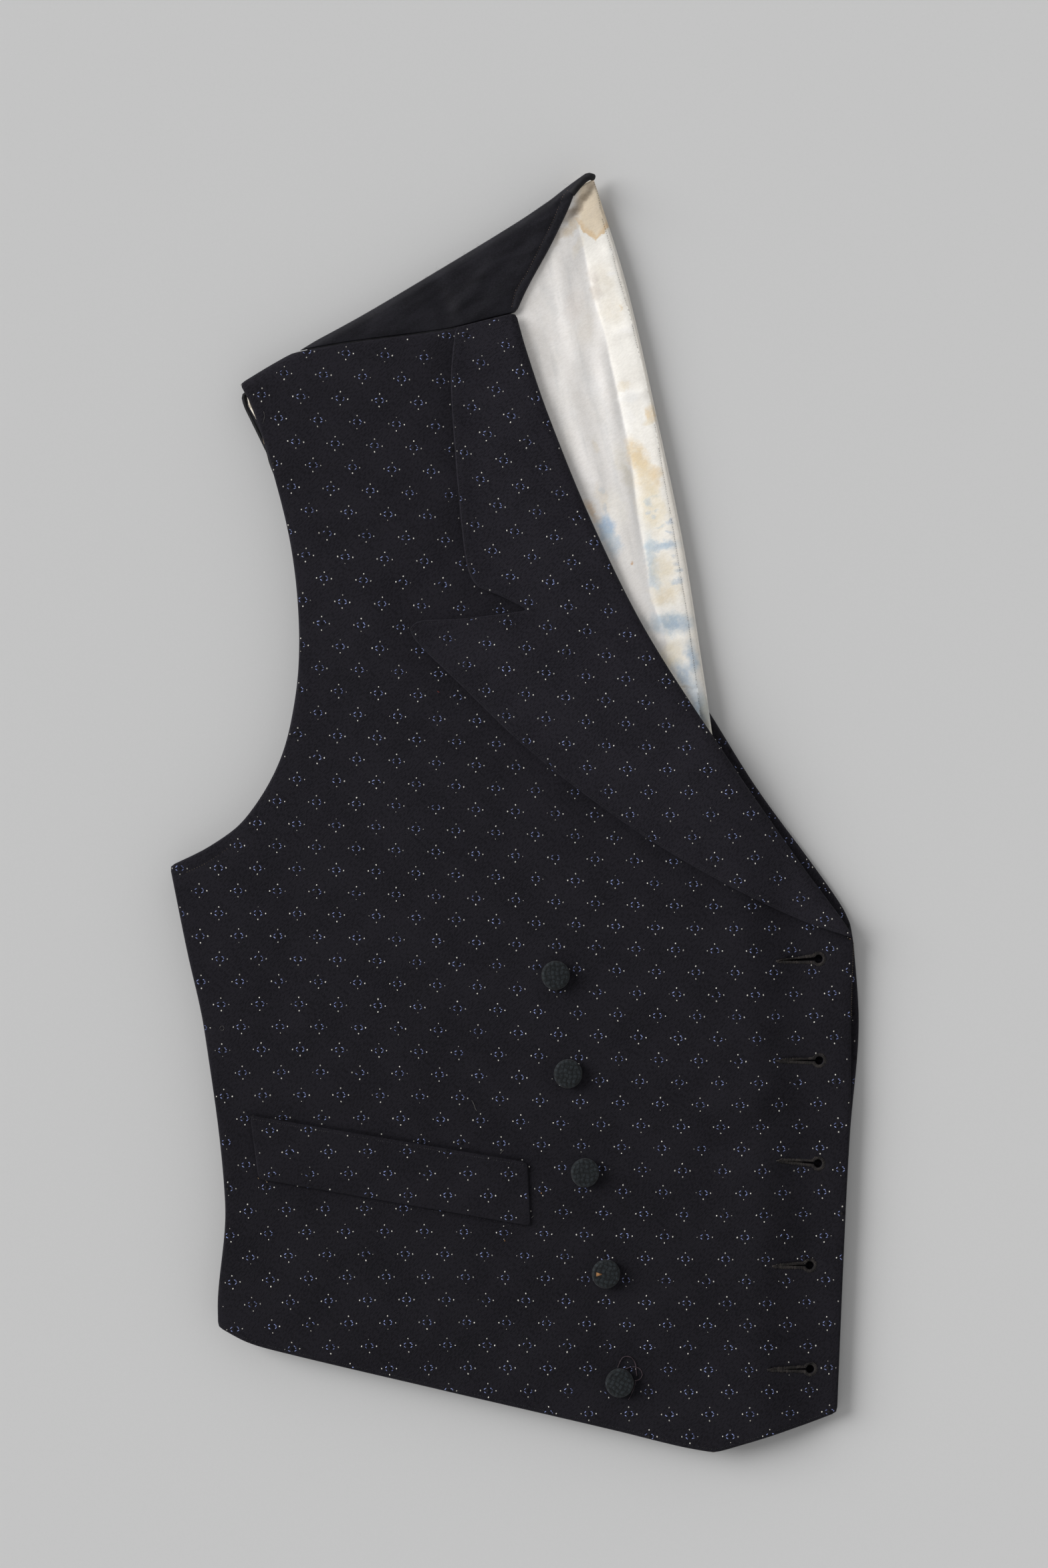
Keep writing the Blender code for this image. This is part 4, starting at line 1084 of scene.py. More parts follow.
liningTones = {
    # Right of the crease the strip is creamier, and painted lighter where the raised strip faces the light
    "left": (0.93, 0.90, 0.872), "right": (0.985, 0.955, 0.895), "creaseRange": (-0.6, 0.8),
    "beyond": (0.65, 0.64, 0.625), "beyondShadeRange": (0.0, 0.5),    # painted shade past the centre seam, where the cloth turns down away from the light
    # Painted shade: grey streaks of soft folds left of the crease, and the grey band beside it
    "foldShade": (0.70, 0.695, 0.69), "foldShadeLie": (101.0, 8.0), "foldShadeFades": (-1.0, 3.0, 1.0, 0.35),
    "foldShadePatches": (240.0, 3.0, 0.55, 0.45, 0.75, 0.0, 0.42),
    "shadeStarts": (-6.0, -0.8), "shadeEnds": (-0.6, 0.4, 0.4, 0.0),    # painted shade beside the crease
    "raggedPatches": (260.0, 4.0, 0.65, 0.3, 0.6, 0.6, 1.0), "wanderScale": 170.0, "wander": 8.0,
    "fill": (0.84, 0.69, 0.49), "tide": (0.78, 0.52, 0.25), "tideWide": 1.4, "tideShows": (-4.5, 2.5),
    "fillRange": (-0.3, 0.6, 0.0, 0.8), "rimRange": (0.3, 2.2, 0.75, 0.0), "patchEdgeRange": (0.35, 1.35),
    "cloud": (0.80, 0.75, 0.68), "cloudPatches": (60.0, 3.0, 0.6, 0.4, 0.75, 0.0, 0.25),
    "weave": (0.55, 0.53, 0.50), "weaveLie": (35.0, 3.5), "weaveScale": 2600.0, "slubScale": 900.0,
    "weaveRange": (0.35, 0.62, 0.2, 0.0), "weaveShare": 0.6, "relief": 0.4, "reliefHeight": 0.05,
    # Painted shade along the sewn line of the centre back
    "stitchShade": (0.5, 0.49, 0.48), "stitchShadeRange": (0.2, 0.7, 0.3, 0.0),
    "roughness": 0.55, "specular": 0.35,
}
# The stain at the neck ends below in a point, between these two lines: x1, y1, x2, y2
tideLines = [(31, 292.5, 40.6, 284), (40.6, 284, 46, 290.5)]
# Stains and dye marks, with painted shadows and painted highlights among them
stainsShadowsAndHighlights = [
    # x, y, half length, half width, turn, strength, colour
    # Painted shadow of the fold below the flap's end, brown where it lies on the stain, in this row and the
    # next
    (33.3, 304.5, 8, 2.6, 52, 0.7, (0.42, 0.32, 0.22)),
    (27.2, 297.8, 6, 2.8, 40, 0.6, (0.44, 0.34, 0.24)),
    (27, 291, 6, 3, 60, 0.6, (0.66, 0.52, 0.33)),
    (22, 286, 4.5, 2.2, 60, 0.4, (0.62, 0.52, 0.39)),
    # Painted shadow under the flap's tip, brownish
    (38.5, 312.5, 3.2, 2.2, 20, 0.6, (0.5, 0.38, 0.27)),
    (31.5, 282, 6, 2, 70, 0.3, (0.8, 0.7, 0.52)),
    (29.5, 252, 9, 5, 75, 0.22, (0.8, 0.68, 0.6)),
    (35, 240, 9, 4, 80, 0.2, (0.82, 0.72, 0.56)),
    (54.4, 212, 4, 2.6, 10, 0.5, (0.8, 0.68, 0.47)),
    (48.5, 249.5, 8, 7, 60, 0.28, (0.8, 0.7, 0.52)),
    (53.5, 250.8, 1.6, 0.8, -70, 0.6, (0.8, 0.6, 0.33)),
    (67.4, 198.5, 5.2, 2.6, -78, 0.8, (0.84, 0.66, 0.42)),
    (66.5, 193.5, 2.6, 2, 0, 0.4, (0.8, 0.66, 0.42)),
    (61.5, 177, 10, 5, -62, 0.95, (0.86, 0.68, 0.42)),
    (66, 165, 10, 6.5, -70, 0.75, (0.86, 0.71, 0.47)),
    (70.5, 167, 5.5, 3, -80, 0.65, (0.82, 0.63, 0.38)),
    (68.5, 151, 14, 7.5, -75, 0.7, (0.86, 0.76, 0.56)),
    (52.5, 176, 10, 3.6, -75, 0.35, (0.76, 0.7, 0.55)),
    # Painted shade just left of the crease
    (56.5, 166, 8, 3, -75, 0.4, (0.66, 0.6, 0.48)),
    (40.2, 182, 3, 2, -60, 0.3, (0.8, 0.68, 0.48)),
    (38.5, 150, 7, 2.4, -58, 0.6, (0.82, 0.6, 0.38)),
    (43.5, 156, 8, 3, -70, 0.35, (0.82, 0.68, 0.46)),
    (43.6, 160.3, 2.4, 1.5, -80, 0.4, (0.5, 0.6, 0.7)),
    (44.5, 151.2, 2.4, 1.2, -80, 0.4, (0.48, 0.58, 0.7)),
    (45.6, 142, 6.5, 4.2, -70, 0.9, (0.46, 0.6, 0.77)),
    (48.5, 134, 8, 4.6, -70, 0.75, (0.5, 0.63, 0.75)),
    (67, 153.6, 2.2, 1.8, 0, 0.6, (0.5, 0.6, 0.68)),
    (66.6, 149.4, 1.3, 1, 0, 0.6, (0.5, 0.6, 0.7)),
    (69.8, 149.5, 1.4, 0.8, 0, 0.45, (0.54, 0.62, 0.68)),
    (69, 147, 1.4, 0.9, 0, 0.5, (0.5, 0.6, 0.7)),
    (69.5, 156.5, 3, 1, 30, 0.3, (0.58, 0.66, 0.7)),
    (77.4, 143.8, 1.9, 1.3, 20, 0.7, (0.42, 0.52, 0.66)),
    (77.5, 139.3, 1.8, 0.9, 20, 0.55, (0.45, 0.54, 0.66)),
    (72.5, 141.6, 3.2, 0.8, 8, 0.4, (0.52, 0.62, 0.7)),
    (74, 132.8, 9, 2.8, 4, 0.8, (0.45, 0.58, 0.7)),
    (77.5, 133.6, 3, 1.3, 6, 0.55, (0.38, 0.5, 0.64)),
    (68.6, 124, 14, 3, -80, 0.7, (0.53, 0.64, 0.72)),
    (69.2, 115, 4, 3, -80, 0.45, (0.56, 0.66, 0.76)),
    (79.3, 127.7, 1.5, 0.8, 0, 0.5, (0.45, 0.54, 0.66)),
    (80, 124.4, 2, 0.9, 0, 0.6, (0.4, 0.5, 0.65)),
    (80.8, 120.2, 2.6, 1.2, -4, 0.65, (0.4, 0.52, 0.64)),
    (80.8, 114, 3.4, 1.6, 2, 0.75, (0.37, 0.49, 0.62)),
    (74.5, 121, 8, 6, 80, 0.65, (0.84, 0.74, 0.55)),
    (76, 108, 8, 5.5, 10, 0.7, (0.82, 0.7, 0.5)),
    (78, 93.5, 12.5, 5.6, 2, 0.9, (0.43, 0.54, 0.64)),
    (82, 92.5, 5.5, 3.4, 10, 0.5, (0.38, 0.49, 0.62)),
    (64, 93.5, 5, 3, -50, 0.5, (0.58, 0.6, 0.6)),
    (78, 78, 8, 6.5, 60, 0.65, (0.82, 0.73, 0.55)),
    (88.5, 76, 8.5, 3.6, -82, 0.9, (0.43, 0.54, 0.66)),
    (84.5, 67.5, 8, 4, -60, 0.85, (0.45, 0.55, 0.66)),
    (86, 61.8, 3.6, 1, 15, 0.6, (0.5, 0.44, 0.34)),
    (93, 50, 10, 4.5, -62, 0.9, (0.44, 0.54, 0.64)),
    (97.5, 40, 7, 2.4, -64, 0.5, (0.72, 0.66, 0.52)),
    (89.8, 60.5, 6.5, 4.2, -62, 0.65, (0.6, 0.67, 0.74)),
    (95.8, 48.5, 10, 2.4, -75, 0.8, (0.66, 0.67, 0.62)),
    (58.8, 124, 1, 0.7, 0, 0.8, (0.66, 0.36, 0.13)),
    # Painted shadows: grey bands beside the crease and beside the flap, in this row and the next
    (42, 203, 24, 4.5, -68, 0.45, (0.76, 0.755, 0.75)),
    (17, 258, 12, 3, -75, 0.4, (0.74, 0.735, 0.73)),
    # Painted highlight on a ridge of the lining
    (36, 168, 14, 5, -68, 0.5, (0.97, 0.94, 0.92)),
    # Painted shade beside the crease, in this row and the next
    (44.8, 264.5, 10, 5, -75, 0.7, (0.8, 0.74, 0.64)),
    (40, 262, 10, 3.2, -78, 0.8, (0.69, 0.63, 0.57)),
    # Painted highlights: ridges and sheen of the sateen, in this row and the five after it
    (51, 151, 11, 5, -75, 0.6, (0.97, 0.93, 0.85)),
    (49.5, 279.8, 3.4, 2, 60, 0.5, (0.97, 0.96, 0.94)),
    (48.8, 268.4, 3, 1.6, 20, 0.6, (0.97, 0.96, 0.94)),
    (56, 240.5, 6, 2.2, 20, 0.45, (0.97, 0.95, 0.93)),
    (57.5, 206.5, 8, 3.4, 8, 0.75, (0.98, 0.97, 0.95)),
    (56.5, 195, 8, 3.2, -80, 0.55, (0.98, 0.96, 0.93)),
]


def ellipseAway(tree, place, x, y, halfLong, halfWide, turn):    # one at the ellipse's rim
    local = result(tree, "ShaderNodeMapping", {"Vector": place, "Location": (x * mm, y * mm, 0),
                                               "Rotation": (0, 0, math.radians(turn)),
                                               "Scale": (halfLong * mm, halfWide * mm, 1.0)},
                   vector_type="TEXTURE")
    flat = result(tree, "ShaderNodeVectorMath", {0: local, 1: (1.0, 1.0, 0.0)}, operation="MULTIPLY")
    return lengthOf(tree, flat)


def aboveLine(tree, place, x1, y1, x2, y2):    # signed distance from the line, in metres
    length = math.hypot(x2 - x1, y2 - y1)
    facing = ((y1 - y2) / length, (x2 - x1) / length, 0.0)
    start = (x1 * mm, y1 * mm, 0.0)
    away = result(tree, "ShaderNodeVectorMath", {0: place, 1: start}, operation="SUBTRACT")
    return put(tree, "ShaderNodeVectorMath", {0: away, 1: facing}, operation="DOT_PRODUCT").outputs["Value"]


def wandering(tree, place):    # the place, shifted a little so that the edges of stains, painted shadows and painted highlights wander
    shift = noise(tree, place, liningTones["wanderScale"], 4.0, 0.6, output="Color")
    shift = result(tree, "ShaderNodeVectorMath", {0: shift, 1: (0.5, 0.5, 0.5)}, operation="SUBTRACT")
    by = (liningTones["wander"] * mm, liningTones["wander"] * mm, 0.0)
    return result(tree, "ShaderNodeVectorMath", {0: shift, 1: by, 2: place}, operation="MULTIPLY_ADD")


def liningMaterial():
    tones = liningTones
    material, tree, shader = newMaterial("lining_sateen", tones)
    place = objectPlace(tree)
    past = attributeOf(tree, "pastCrease")
    fromStitch, beyond = attributeOf(tree, "fromStitch"), attributeOf(tree, "beyondStitch")

    def over(colour, cover, tone, blend="MIX"):
        return mixColour(tree, cover, colour, rgba(tone), blend)

    def within(value, name):
        return rangeOf(tree, value, *tones[name])

    # Creamier right of the crease, and painted lighter there where the raised strip faces the light
    colour = over(rgba(tones["left"]), within(past, "creaseRange"), tones["right"])
    # Painted shade: grey streaks of soft folds, then a grey band beside the crease
    foldShade = patches(tree, stretched(tree, place, *tones["foldShadeLie"]), *tones["foldShadePatches"])
    colour = over(colour, product(tree, foldShade, within(past, "foldShadeFades")), tones["foldShade"])
    shade = product(tree, within(past, "shadeStarts"), within(past, "shadeEnds"))
    colour = over(colour, shade, tones["foldShade"])
    ragged = patches(tree, place, *tones["raggedPatches"])
    shifted = wandering(tree, place)
    inStain = math2(tree, "MINIMUM", *[aboveLine(tree, shifted, *line) for line in tideLines])
    inStain = math2(tree, "DIVIDE", inStain, tones["tideWide"] * mm)
    fill = product(tree, within(past, "tideShows"), within(inStain, "fillRange"))
    colour = over(colour, fill, tones["fill"])
    colour = over(colour, product(tree, fill, within(inStain, "rimRange")), tones["tide"])
    # Stains and dye, with painted shadows and painted highlights among them
    for x, y, halfLong, halfWide, turn, strength, tone in stainsShadowsAndHighlights:
        away = ellipseAway(tree, shifted, x, y, halfLong, halfWide, turn)
        cover = rangeOf(tree, away, *tones["patchEdgeRange"], strength, 0.0)
        colour = over(colour, product(tree, cover, ragged), tone)
    # Painted shade past the centre seam, where the cloth turns down away from the light
    colour = over(colour, within(beyond, "beyondShadeRange"), tones["beyond"], "MULTIPLY")
    colour = over(colour, patches(tree, place, *tones["cloudPatches"]), tones["cloud"])
    lying = stretched(tree, place, *tones["weaveLie"])
    weave = noise(tree, lying, tones["weaveScale"], 2.0, 0.6)
    slubs = noise(tree, lying, tones["slubScale"], 2.0, 0.6)
    share = tones["weaveShare"]
    both = math2(tree, "ADD", product(tree, weave, share), product(tree, slubs, 1 - share))
    colour = over(colour, within(both, "weaveRange"), tones["weave"], "MULTIPLY")
    # Painted shade along the sewn line of the centre back
    colour = over(colour, within(fromStitch, "stitchShadeRange"), tones["stitchShade"], "MULTIPLY")
    dress(tree, shader, colour, weave, tones)
    return material


finishPiece(lining, liningMaterial(), ["back_lining"])
print("lining laid:", len(lining.data.polygons), "faces")


# Hidden stretch of both backs
backValues = {"grid": 8.0, "foot": 0.8, "head": 1.0, "armholeIn": 2.6}
backLoop = outlineOf(
    (backRidge, 0), (split[::-1], 0.3), (edges["hiddenFold"], 0.3), (edges["hiddenHemFront"], 0),
    (edges["hiddenHemSide"], 0), (edges["hiddenSideSeam"], 0),
    (edges["backArmhole"][::-1], backValues["armholeIn"]), (edges["strip"][:3:-1], 0),
    (np.array([edges["strip"][4], backRidge[0]]), 0))


def backTop(x, y):
    return backsFloor(x, y) + stack["backs"]


back = clothShell("folded_back_cloth", backLoop, backsFloor, backTop, backValues)
finishPiece(back, satinCloth, ["folded_back"])


# Far front, wool side down, with its lapel's roll showing beside the near one
farValues = {"grid": 4.5, "head": 1.1, "foot": 0.45, "rollWidth": 8.0, "rollDrop": 1.3}
farLoop = outlineOf(
    (edges["ridgeTip"], 2.0), (edges["ridge"], 2.0), (edges["farRidge"], 0.5), (edges["farNeck"], 0),
    (edges["farRoll"], 0), (edges["farEdge"], 0), (edges["hemFront"], 0.9), (edges["hemSide"], 0.9),
    (edges["side"], 0.9), (edges["armhole"], 1.2))
farShows = np.vstack([edges["farRoll"], edges["farEdge"][1:]])


def farFloor(x, y):
    return np.zeros(np.shape(x))


def farTop(x, y):
    return stack["farFront"] - roundDrop(farShows, farValues["rollWidth"], farValues["rollDrop"], x, y)


farRows = rowsBeside((farShows, (-2.0, -4.0, -6.0, -8.4)))
far = clothShell("far_front_cloth", farLoop, farFloor, farTop, farValues, farRows, (), "front")
finishPiece(far, woolCloth, ["far_front"])
print("backs and far front laid")


# Woven motif: four cream dots round a ring of five blue dashes
motif = {
    "dashes": [(-1.64, 0.88, 1.68, 39), (-1.56, -0.82, 1.6, -38), (1.3, 1.12, 1.2, -20),
               (1.86, 0.34, 0.8, -44), (1.62, -0.78, 1.55, 33)],    # x, y, length, angle
    "dots": [(-0.1, 3.3), (0.08, -3.15), (3.78, -0.05), (-3.82, 0.0)],
    "dashWidth": 0.58, "dotLength": 0.94, "dotWidth": 0.74, "thickness": 0.34, "sunk": 0.05,
    "dashMissing": 0.02, "dotMissing": 0.01, "dotFaint": 0.2, "rows": 32, "columns": 12,
    # How each one differs
    "sizes": (0.95, 1.04), "dashStray": 0.06, "dashLean": 7, "dashSizes": (0.75, 1.1),
    "dotStray": 0.08, "dotLean": 25, "dotSizes": (0.9, 1.1), "faintDot": (0.45, 0.65), "fullDot": (0.82, 1.08),
    "clear": 0.7,       # no float stands this near the cloth's edge
}


def surfaceTurn(heightAt, x, y, angle):    # Euler angles of a thread that lies on the surface
    step = 0.4
    slopeX = (heightAt(x + step, y) - heightAt(x - step, y)) / (2 * step)
    slopeY = (heightAt(x, y + step) - heightAt(x, y - step)) / (2 * step)
    turns = []
    for sx, sy, a in zip(slopeX, slopeY, angle):
        tilt = Vector((0, 0, 1)).rotation_difference(Vector((-sx, -sy, 1)))
        turns.append(tuple((tilt.to_matrix() @ Euler((0, 0, a)).to_matrix()).to_euler()))
    return turns


def motifThreads(gridName, seed):    # places of every float: x, y, angle, length, width
    draw = random.Random(seed)
    grid = wovenGrids[gridName]
    dashes, dots = [], []
    for row in range(-motif["rows"], motif["rows"]):
        for column in range(-motif["columns"] - row // 2, motif["columns"] - row // 2):
            u, v = column + row / 2, row
            x, y = gridPlace(grid, u, v)
            slopes = gridSlopes(grid, u, v)
            turn = math.atan2(slopes[1][0], slopes[0][0])
            size = draw.uniform(*motif["sizes"])
            c, s = math.cos(turn) * size, math.sin(turn) * size

            def strayed(dx, dy, stray):
                return x + c * dx - s * dy + draw.gauss(0, stray), y + s * dx + c * dy + draw.gauss(0, stray)

            for dx, dy, length, angle in motif["dashes"]:
                gone = draw.random() < motif["dashMissing"]
                place = strayed(dx, dy, motif["dashStray"])
                lean = turn + math.radians(angle + draw.gauss(0, motif["dashLean"]))
                long = length * draw.uniform(*motif["dashSizes"])
                wide = motif["dashWidth"] * draw.uniform(*motif["dashSizes"])
                if not gone:
                    dashes.append((*place, lean, long, wide))
            for dx, dy in motif["dots"]:
                gone = draw.random() < motif["dotMissing"]
                place = strayed(dx, dy, motif["dotStray"])
                lean = turn + math.radians(90 + draw.uniform(-motif["dotLean"], motif["dotLean"]))
                faint = draw.random() < motif["dotFaint"]
                full = draw.uniform(*motif["faintDot" if faint else "fullDot"])
                long = full * motif["dotLength"] * draw.uniform(*motif["dotSizes"])
                if not gone:
                    dots.append((*place, lean, long, full * motif["dotWidth"]))
    return np.array(dashes), np.array(dots)


def layFloats(name, rows, material, heightAt, side=1):
    x, y, angle, length, width = rows.T
    z = heightAt(x, y) - side * motif["sunk"]
    obj = newObject(name, np.column_stack([x, y, z]), [])
    turns = surfaceTurn(heightAt, x, y, angle)
    sizes = np.column_stack([length, width, np.full(len(x), motif["thickness"])]) * mm
    for label, values in (("threadTurn", turns), ("threadSize", sizes)):
        attribute = obj.data.attributes.new(label, "FLOAT_VECTOR", "POINT")
        attribute.data.foreach_set("vector", np.asarray(values, np.float32).ravel())
    return grow(obj, floatTree, Sides=6, Material=threads[material])


def shownOn(loop, rows, hidden=()):
    x, y = rows[:, 0], rows[:, 1]
    keep = insideLoop(loop, x, y) & (distanceTo(closed(loop), x, y) > motif["clear"])
    for cover in hidden:
        keep &= ~insideLoop(cover, x, y)
    return rows[keep]


def layMotifs(name, gridName, seed, loop, heightAt, hidden=(), side=1):
    dashes, dots = motifThreads(gridName, seed)
    made = [layFloats(name + "_blue", shownOn(loop, dashes, hidden), "blue_float", heightAt, side),
            layFloats(name + "_cream", shownOn(loop, dots, hidden), "cream_float", heightAt, side)]
    print(name, "woven:", sum(len(obj.data.polygons) for obj in made), "faces")
    return made


frontCovers = [lapelLoop, weltLoop, *keyholes(buttonholes["bare"])]
layMotifs("front_motifs", "front", 101, frontLoop, frontTop, frontCovers)
layMotifs("lapel_motifs", "lapel", 102, lapelLoop, lapelTop)
layMotifs("welt_motifs", "welt", 103, weltLoop, weltTop)
layMotifs("roll_motifs", "roll", 104, farLoop, farTop)
layMotifs("underside_motifs", "front", 105, farLoop, farFloor, side=-1)


# Covered buttons: a flat dome in a fine basket weave
buttonValues = {
    "places": [(20.2, -81.4, 2), (26.4, -130.3, -6), (34.8, -179.5, 4), (45.2, -229.8, -12),
               (52.0, -284.0, -28)],    # x, y and how far the weave is turned
    "wide": 7.05, "tall": 7.2, "height": 4.4, "crown": 0.1, "flatShare": 0.8, "rimHeight": 0.42,
    "rimTurn": 118,
    "under": [(0.75, 0.24, 0.0), (0.3, 0.2, 0.0), (0.3, 0.0, 0.0)],
    "block": 2.3, "strands": 3, "weaveHeight": 0.2, "rimWeave": 0.95, "gap": 0.45,
    "drift": 0.32, "driftSize": (5.3, 6.1), "shake": 0.1, "shakeSize": (2.1, 1.7),    # how the blocks wander
    "flatRings": 34, "rimRings": 14, "segments": 200,
    "dark": (0.0026, 0.0036, 0.0044), "light": (0.0225, 0.0285, 0.0330), "sheen": 0.06,
    "roughness": 0.75, "specular": 0.2, "patches": (520.0, 3.0, 0.65, 0.35, 0.65, 0.45, 1.2),
    "toneRange": (0.05, 1.0), "fibreScale": 5200.0, "fibreRange": (0.35, 0.7, 0.4, 0.0),
    "relief": 0.5, "reliefHeight": 0.05,
}


def swing(amount, place, size):
    return amount * np.sin(2 * math.pi * place / size)


def basketHeight(x, y):
    drift, driftSize = buttonValues["drift"], buttonValues["driftSize"]
    x, y = x + swing(drift, y, driftSize[0]), y + swing(drift, x, driftSize[1])
    shake, shakeSize = buttonValues["shake"], buttonValues["shakeSize"]
    x, y = x + swing(shake, x + y, shakeSize[0]), y + swing(shake, x - y, shakeSize[1])
    block = buttonValues["block"]
    column, row = np.floor(x / block), np.floor(y / block)
    inX, inY = x / block - column, y / block - row
    standing = (column + row) % 2 == 0
    across, along = np.where(standing, inX, inY), np.where(standing, inY, inX)
    strand = np.abs(np.sin(math.pi * buttonValues["strands"] * across)) ** 0.7
    bow = np.sin(math.pi * across) ** 0.35 * np.sin(math.pi * along) ** 0.6
    return bow * (buttonValues["gap"] + (1 - buttonValues["gap"]) * strand)


def buttonProfile():    # share of the radius, share of the height and share of the weave, from the crown down
    flat, rim = buttonValues["flatShare"], buttonValues["rimHeight"]
    profile = []
    for i in range(1, buttonValues["flatRings"] + 1):
        r = flat * i / buttonValues["flatRings"]
        profile.append((r, 1 - buttonValues["crown"] * r * r, 1.0))
    edgeLevel = profile[-1][1]
    for i in range(1, buttonValues["rimRings"] + 1):
        angle = math.radians(buttonValues["rimTurn"]) * i / buttonValues["rimRings"]
        level = edgeLevel - rim * (1 - math.cos(angle))
        profile.append((flat + (1 - flat) * math.sin(angle), level, buttonValues["rimWeave"]))
    return profile + buttonValues["under"]


def buttonBase(x, y):
    return float(frontTop(np.array(x), np.array(y))) + stack["seamGap"]


def buttonCover(number, x, y, turn):
    base = buttonBase(x, y)
    count = buttonValues["segments"]
    angles = np.linspace(0, 2 * math.pi, count, endpoint=False)
    lean = math.radians(turn)
    points, tops, faces = [], [], []
    for share, level, woven in buttonProfile():
        px = share * buttonValues["wide"] * np.cos(angles)
        py = share * buttonValues["tall"] * np.sin(angles)
        inX, inY = px * math.cos(lean) + py * math.sin(lean), py * math.cos(lean) - px * math.sin(lean)
        top = basketHeight(inX, inY)
        raised = woven * buttonValues["weaveHeight"] * top
        points.append(np.column_stack([x + px, y + py, base + level * buttonValues["height"] + raised]))
        tops.append(woven * top)
    for ring in range(len(points) - 1):
        for i in range(count):
            j = (i + 1) % count
            faces.append((ring * count + i, (ring + 1) * count + i, (ring + 1) * count + j, ring * count + j))
    crown = len(points) * count
    for i in range(count):
        faces.append((i, (i + 1) % count, crown))
        faces.append((crown - count + (i + 1) % count, crown - count + i, crown + 1))
    points = np.vstack([*points, [(x, y, base + buttonValues["height"])], [(x, y, base)]])
    obj = newObject(f"button_cover_{number}", points, faces)
    obj.data.shade_smooth()
    setGrain(obj, points[:, :2], None)
    # Raised threads are painted lighter and the gaps and underside darker: painted light and shade of the
    # weave
    addAttribute(obj, "threadTop", np.concatenate([*tops, [0.8, 0.0]]))
    return obj


def buttonMaterial():
    material, tree, shader = newMaterial("button_basket_weave", buttonValues)
    place = objectPlace(tree)
    dark, light = rgba(buttonValues["dark"]), rgba(buttonValues["light"])
    # Painted light and shade of the weave: raised threads lighter, gaps and underside darker
    tone = product(tree, attributeOf(tree, "threadTop"), patches(tree, place, *buttonValues["patches"]))
    colour = mixColour(tree, rangeOf(tree, tone, *buttonValues["toneRange"]), dark, light)
    fibre = noise(tree, place, buttonValues["fibreScale"], 2.0, 0.6)
    colour = mixColour(tree, rangeOf(tree, fibre, *buttonValues["fibreRange"]), colour, dark)
    dress(tree, shader, colour, fibre, buttonValues)
    return material


buttonCloth = buttonMaterial()
for number, (x, y, turn) in enumerate(buttonValues["places"], 1):
    finishPiece(buttonCover(number, x, y, turn), buttonCloth, [f"button_{number}"])
print("buttons covered")


# Sewing: name, line, the cloth it lies on, lift, thread, step, length, width, height, tilt, missing share
# and seed
hemLine = np.vstack([edges["hemFront"], edges["hemSide"][1:]])
belowBreak = edges["frontEdge"][(edges["frontEdge"][:, 1] < -65.5) & (edges["frontEdge"][:, 1] > -105.5)]
weltEnd = smoothLine([(-132.6, -153.6), (-131.8, -152.0), (-130.2, -151.2)], 0.5)
edgeStitch = ("black_thread", 1.15, 0.7, 0.3, 0.22, 0, 0.0)
stitchRows = [
    ("hem_pricks", beside(hemLine, -1.8), frontTop, 0.02, "faint_thread", 0.95, 0.36, 0.28, 0.2, 0, 0.35, 7),
    ("lapel_edge_stitches", beside(edges["lapelEdge"], -1.3)[3:], lapelTop, 0.0, *edgeStitch, 8),
    ("lapel_top_stitches", beside(edges["lapelTop"], -1.3), lapelTop, 0.0, *edgeStitch, 9),
    ("collar_edge_stitches", beside(edges["collarEdge"], -1.3), lapelTop, 0.0, *edgeStitch, 10),
    ("welt_top_stitches", beside(weltMouth, -1.5), weltTop, 0.0,
     "faint_thread", 1.1, 0.45, 0.26, 0.2, 0, 0.3, 11),
    ("under_welt_stitches", underWeltRow, frontTop, 0.0, "faint_thread", 1.2, 0.42, 0.26, 0.2, 0, 0.4, 12),
    ("flap_stitches", flapStitch, flapTop, 0.05, "flap_thread", 1.35, 0.55, 0.36, 0.26, 0, 0.0, 13),
    ("centre_back_stitches", centreStitch, liningTop, 0.02,
     "lining_thread", 1.2, 0.85, 0.22, 0.16, 0, 0.05, 14),
    ("underarm_stitches", underarmRow, frontTop, 0.05, "hem_brown", 1.3, 0.4, 0.24, 0.2, 0, 0.2, 15),
    ("front_edge_stitches", beside(belowBreak, 0.1), frontFloor, 0.7,
     "hem_brown", 1.1, 0.6, 0.42, 0.4, 35, 0.08, 16),
    ("welt_corner_stitches", weltEnd, frontTop, 0.9, "faint_thread", 0.6, 1.1, 0.16, 0.16, 70, 0.0, 17),
]
for name, line, under, lift, *sewn in stitchRows:
    stitchRow(name, [laidOn(line, under, lift)], *sewn)
for number, rim in enumerate(keyholes(buttonholes["stitchFrom"]), 1):
    stitchRow(f"buttonhole_stitches_{number}", [laidOn(closed(rim), frontTop, 0.06)], "buttonhole_silk",
              buttonholes["stitchStep"], buttonholes["stitchLong"], buttonholes["stitchWide"],
              buttonholes["stitchHigh"], 90, 0.0, 20 + number, buttonholes["stitchWobble"])
for number, rim in enumerate(keyholes(buttonholes["purlFrom"]), 1):
    threadRun(f"buttonhole_purl_{number}", [laidOn(closed(rim), frontTop, -0.1)], "purl_silk",
              buttonholes["purlRadius"])

# Threads and bands along edges
armholeLip = smoothLine([(-134.0, 209.2), (-131.6, 202.6), (-129.4, 197.4), (-126.8, 190.6), (-124.8, 183.0)],
                        1.0)
frayValues = {"rows": 12, "apart": 0.1, "top": 207.6, "topFalls": 0.45, "foot": 193.6, "footRises": 0.7,
              "lift": 0.15, "sinks": 0.02}


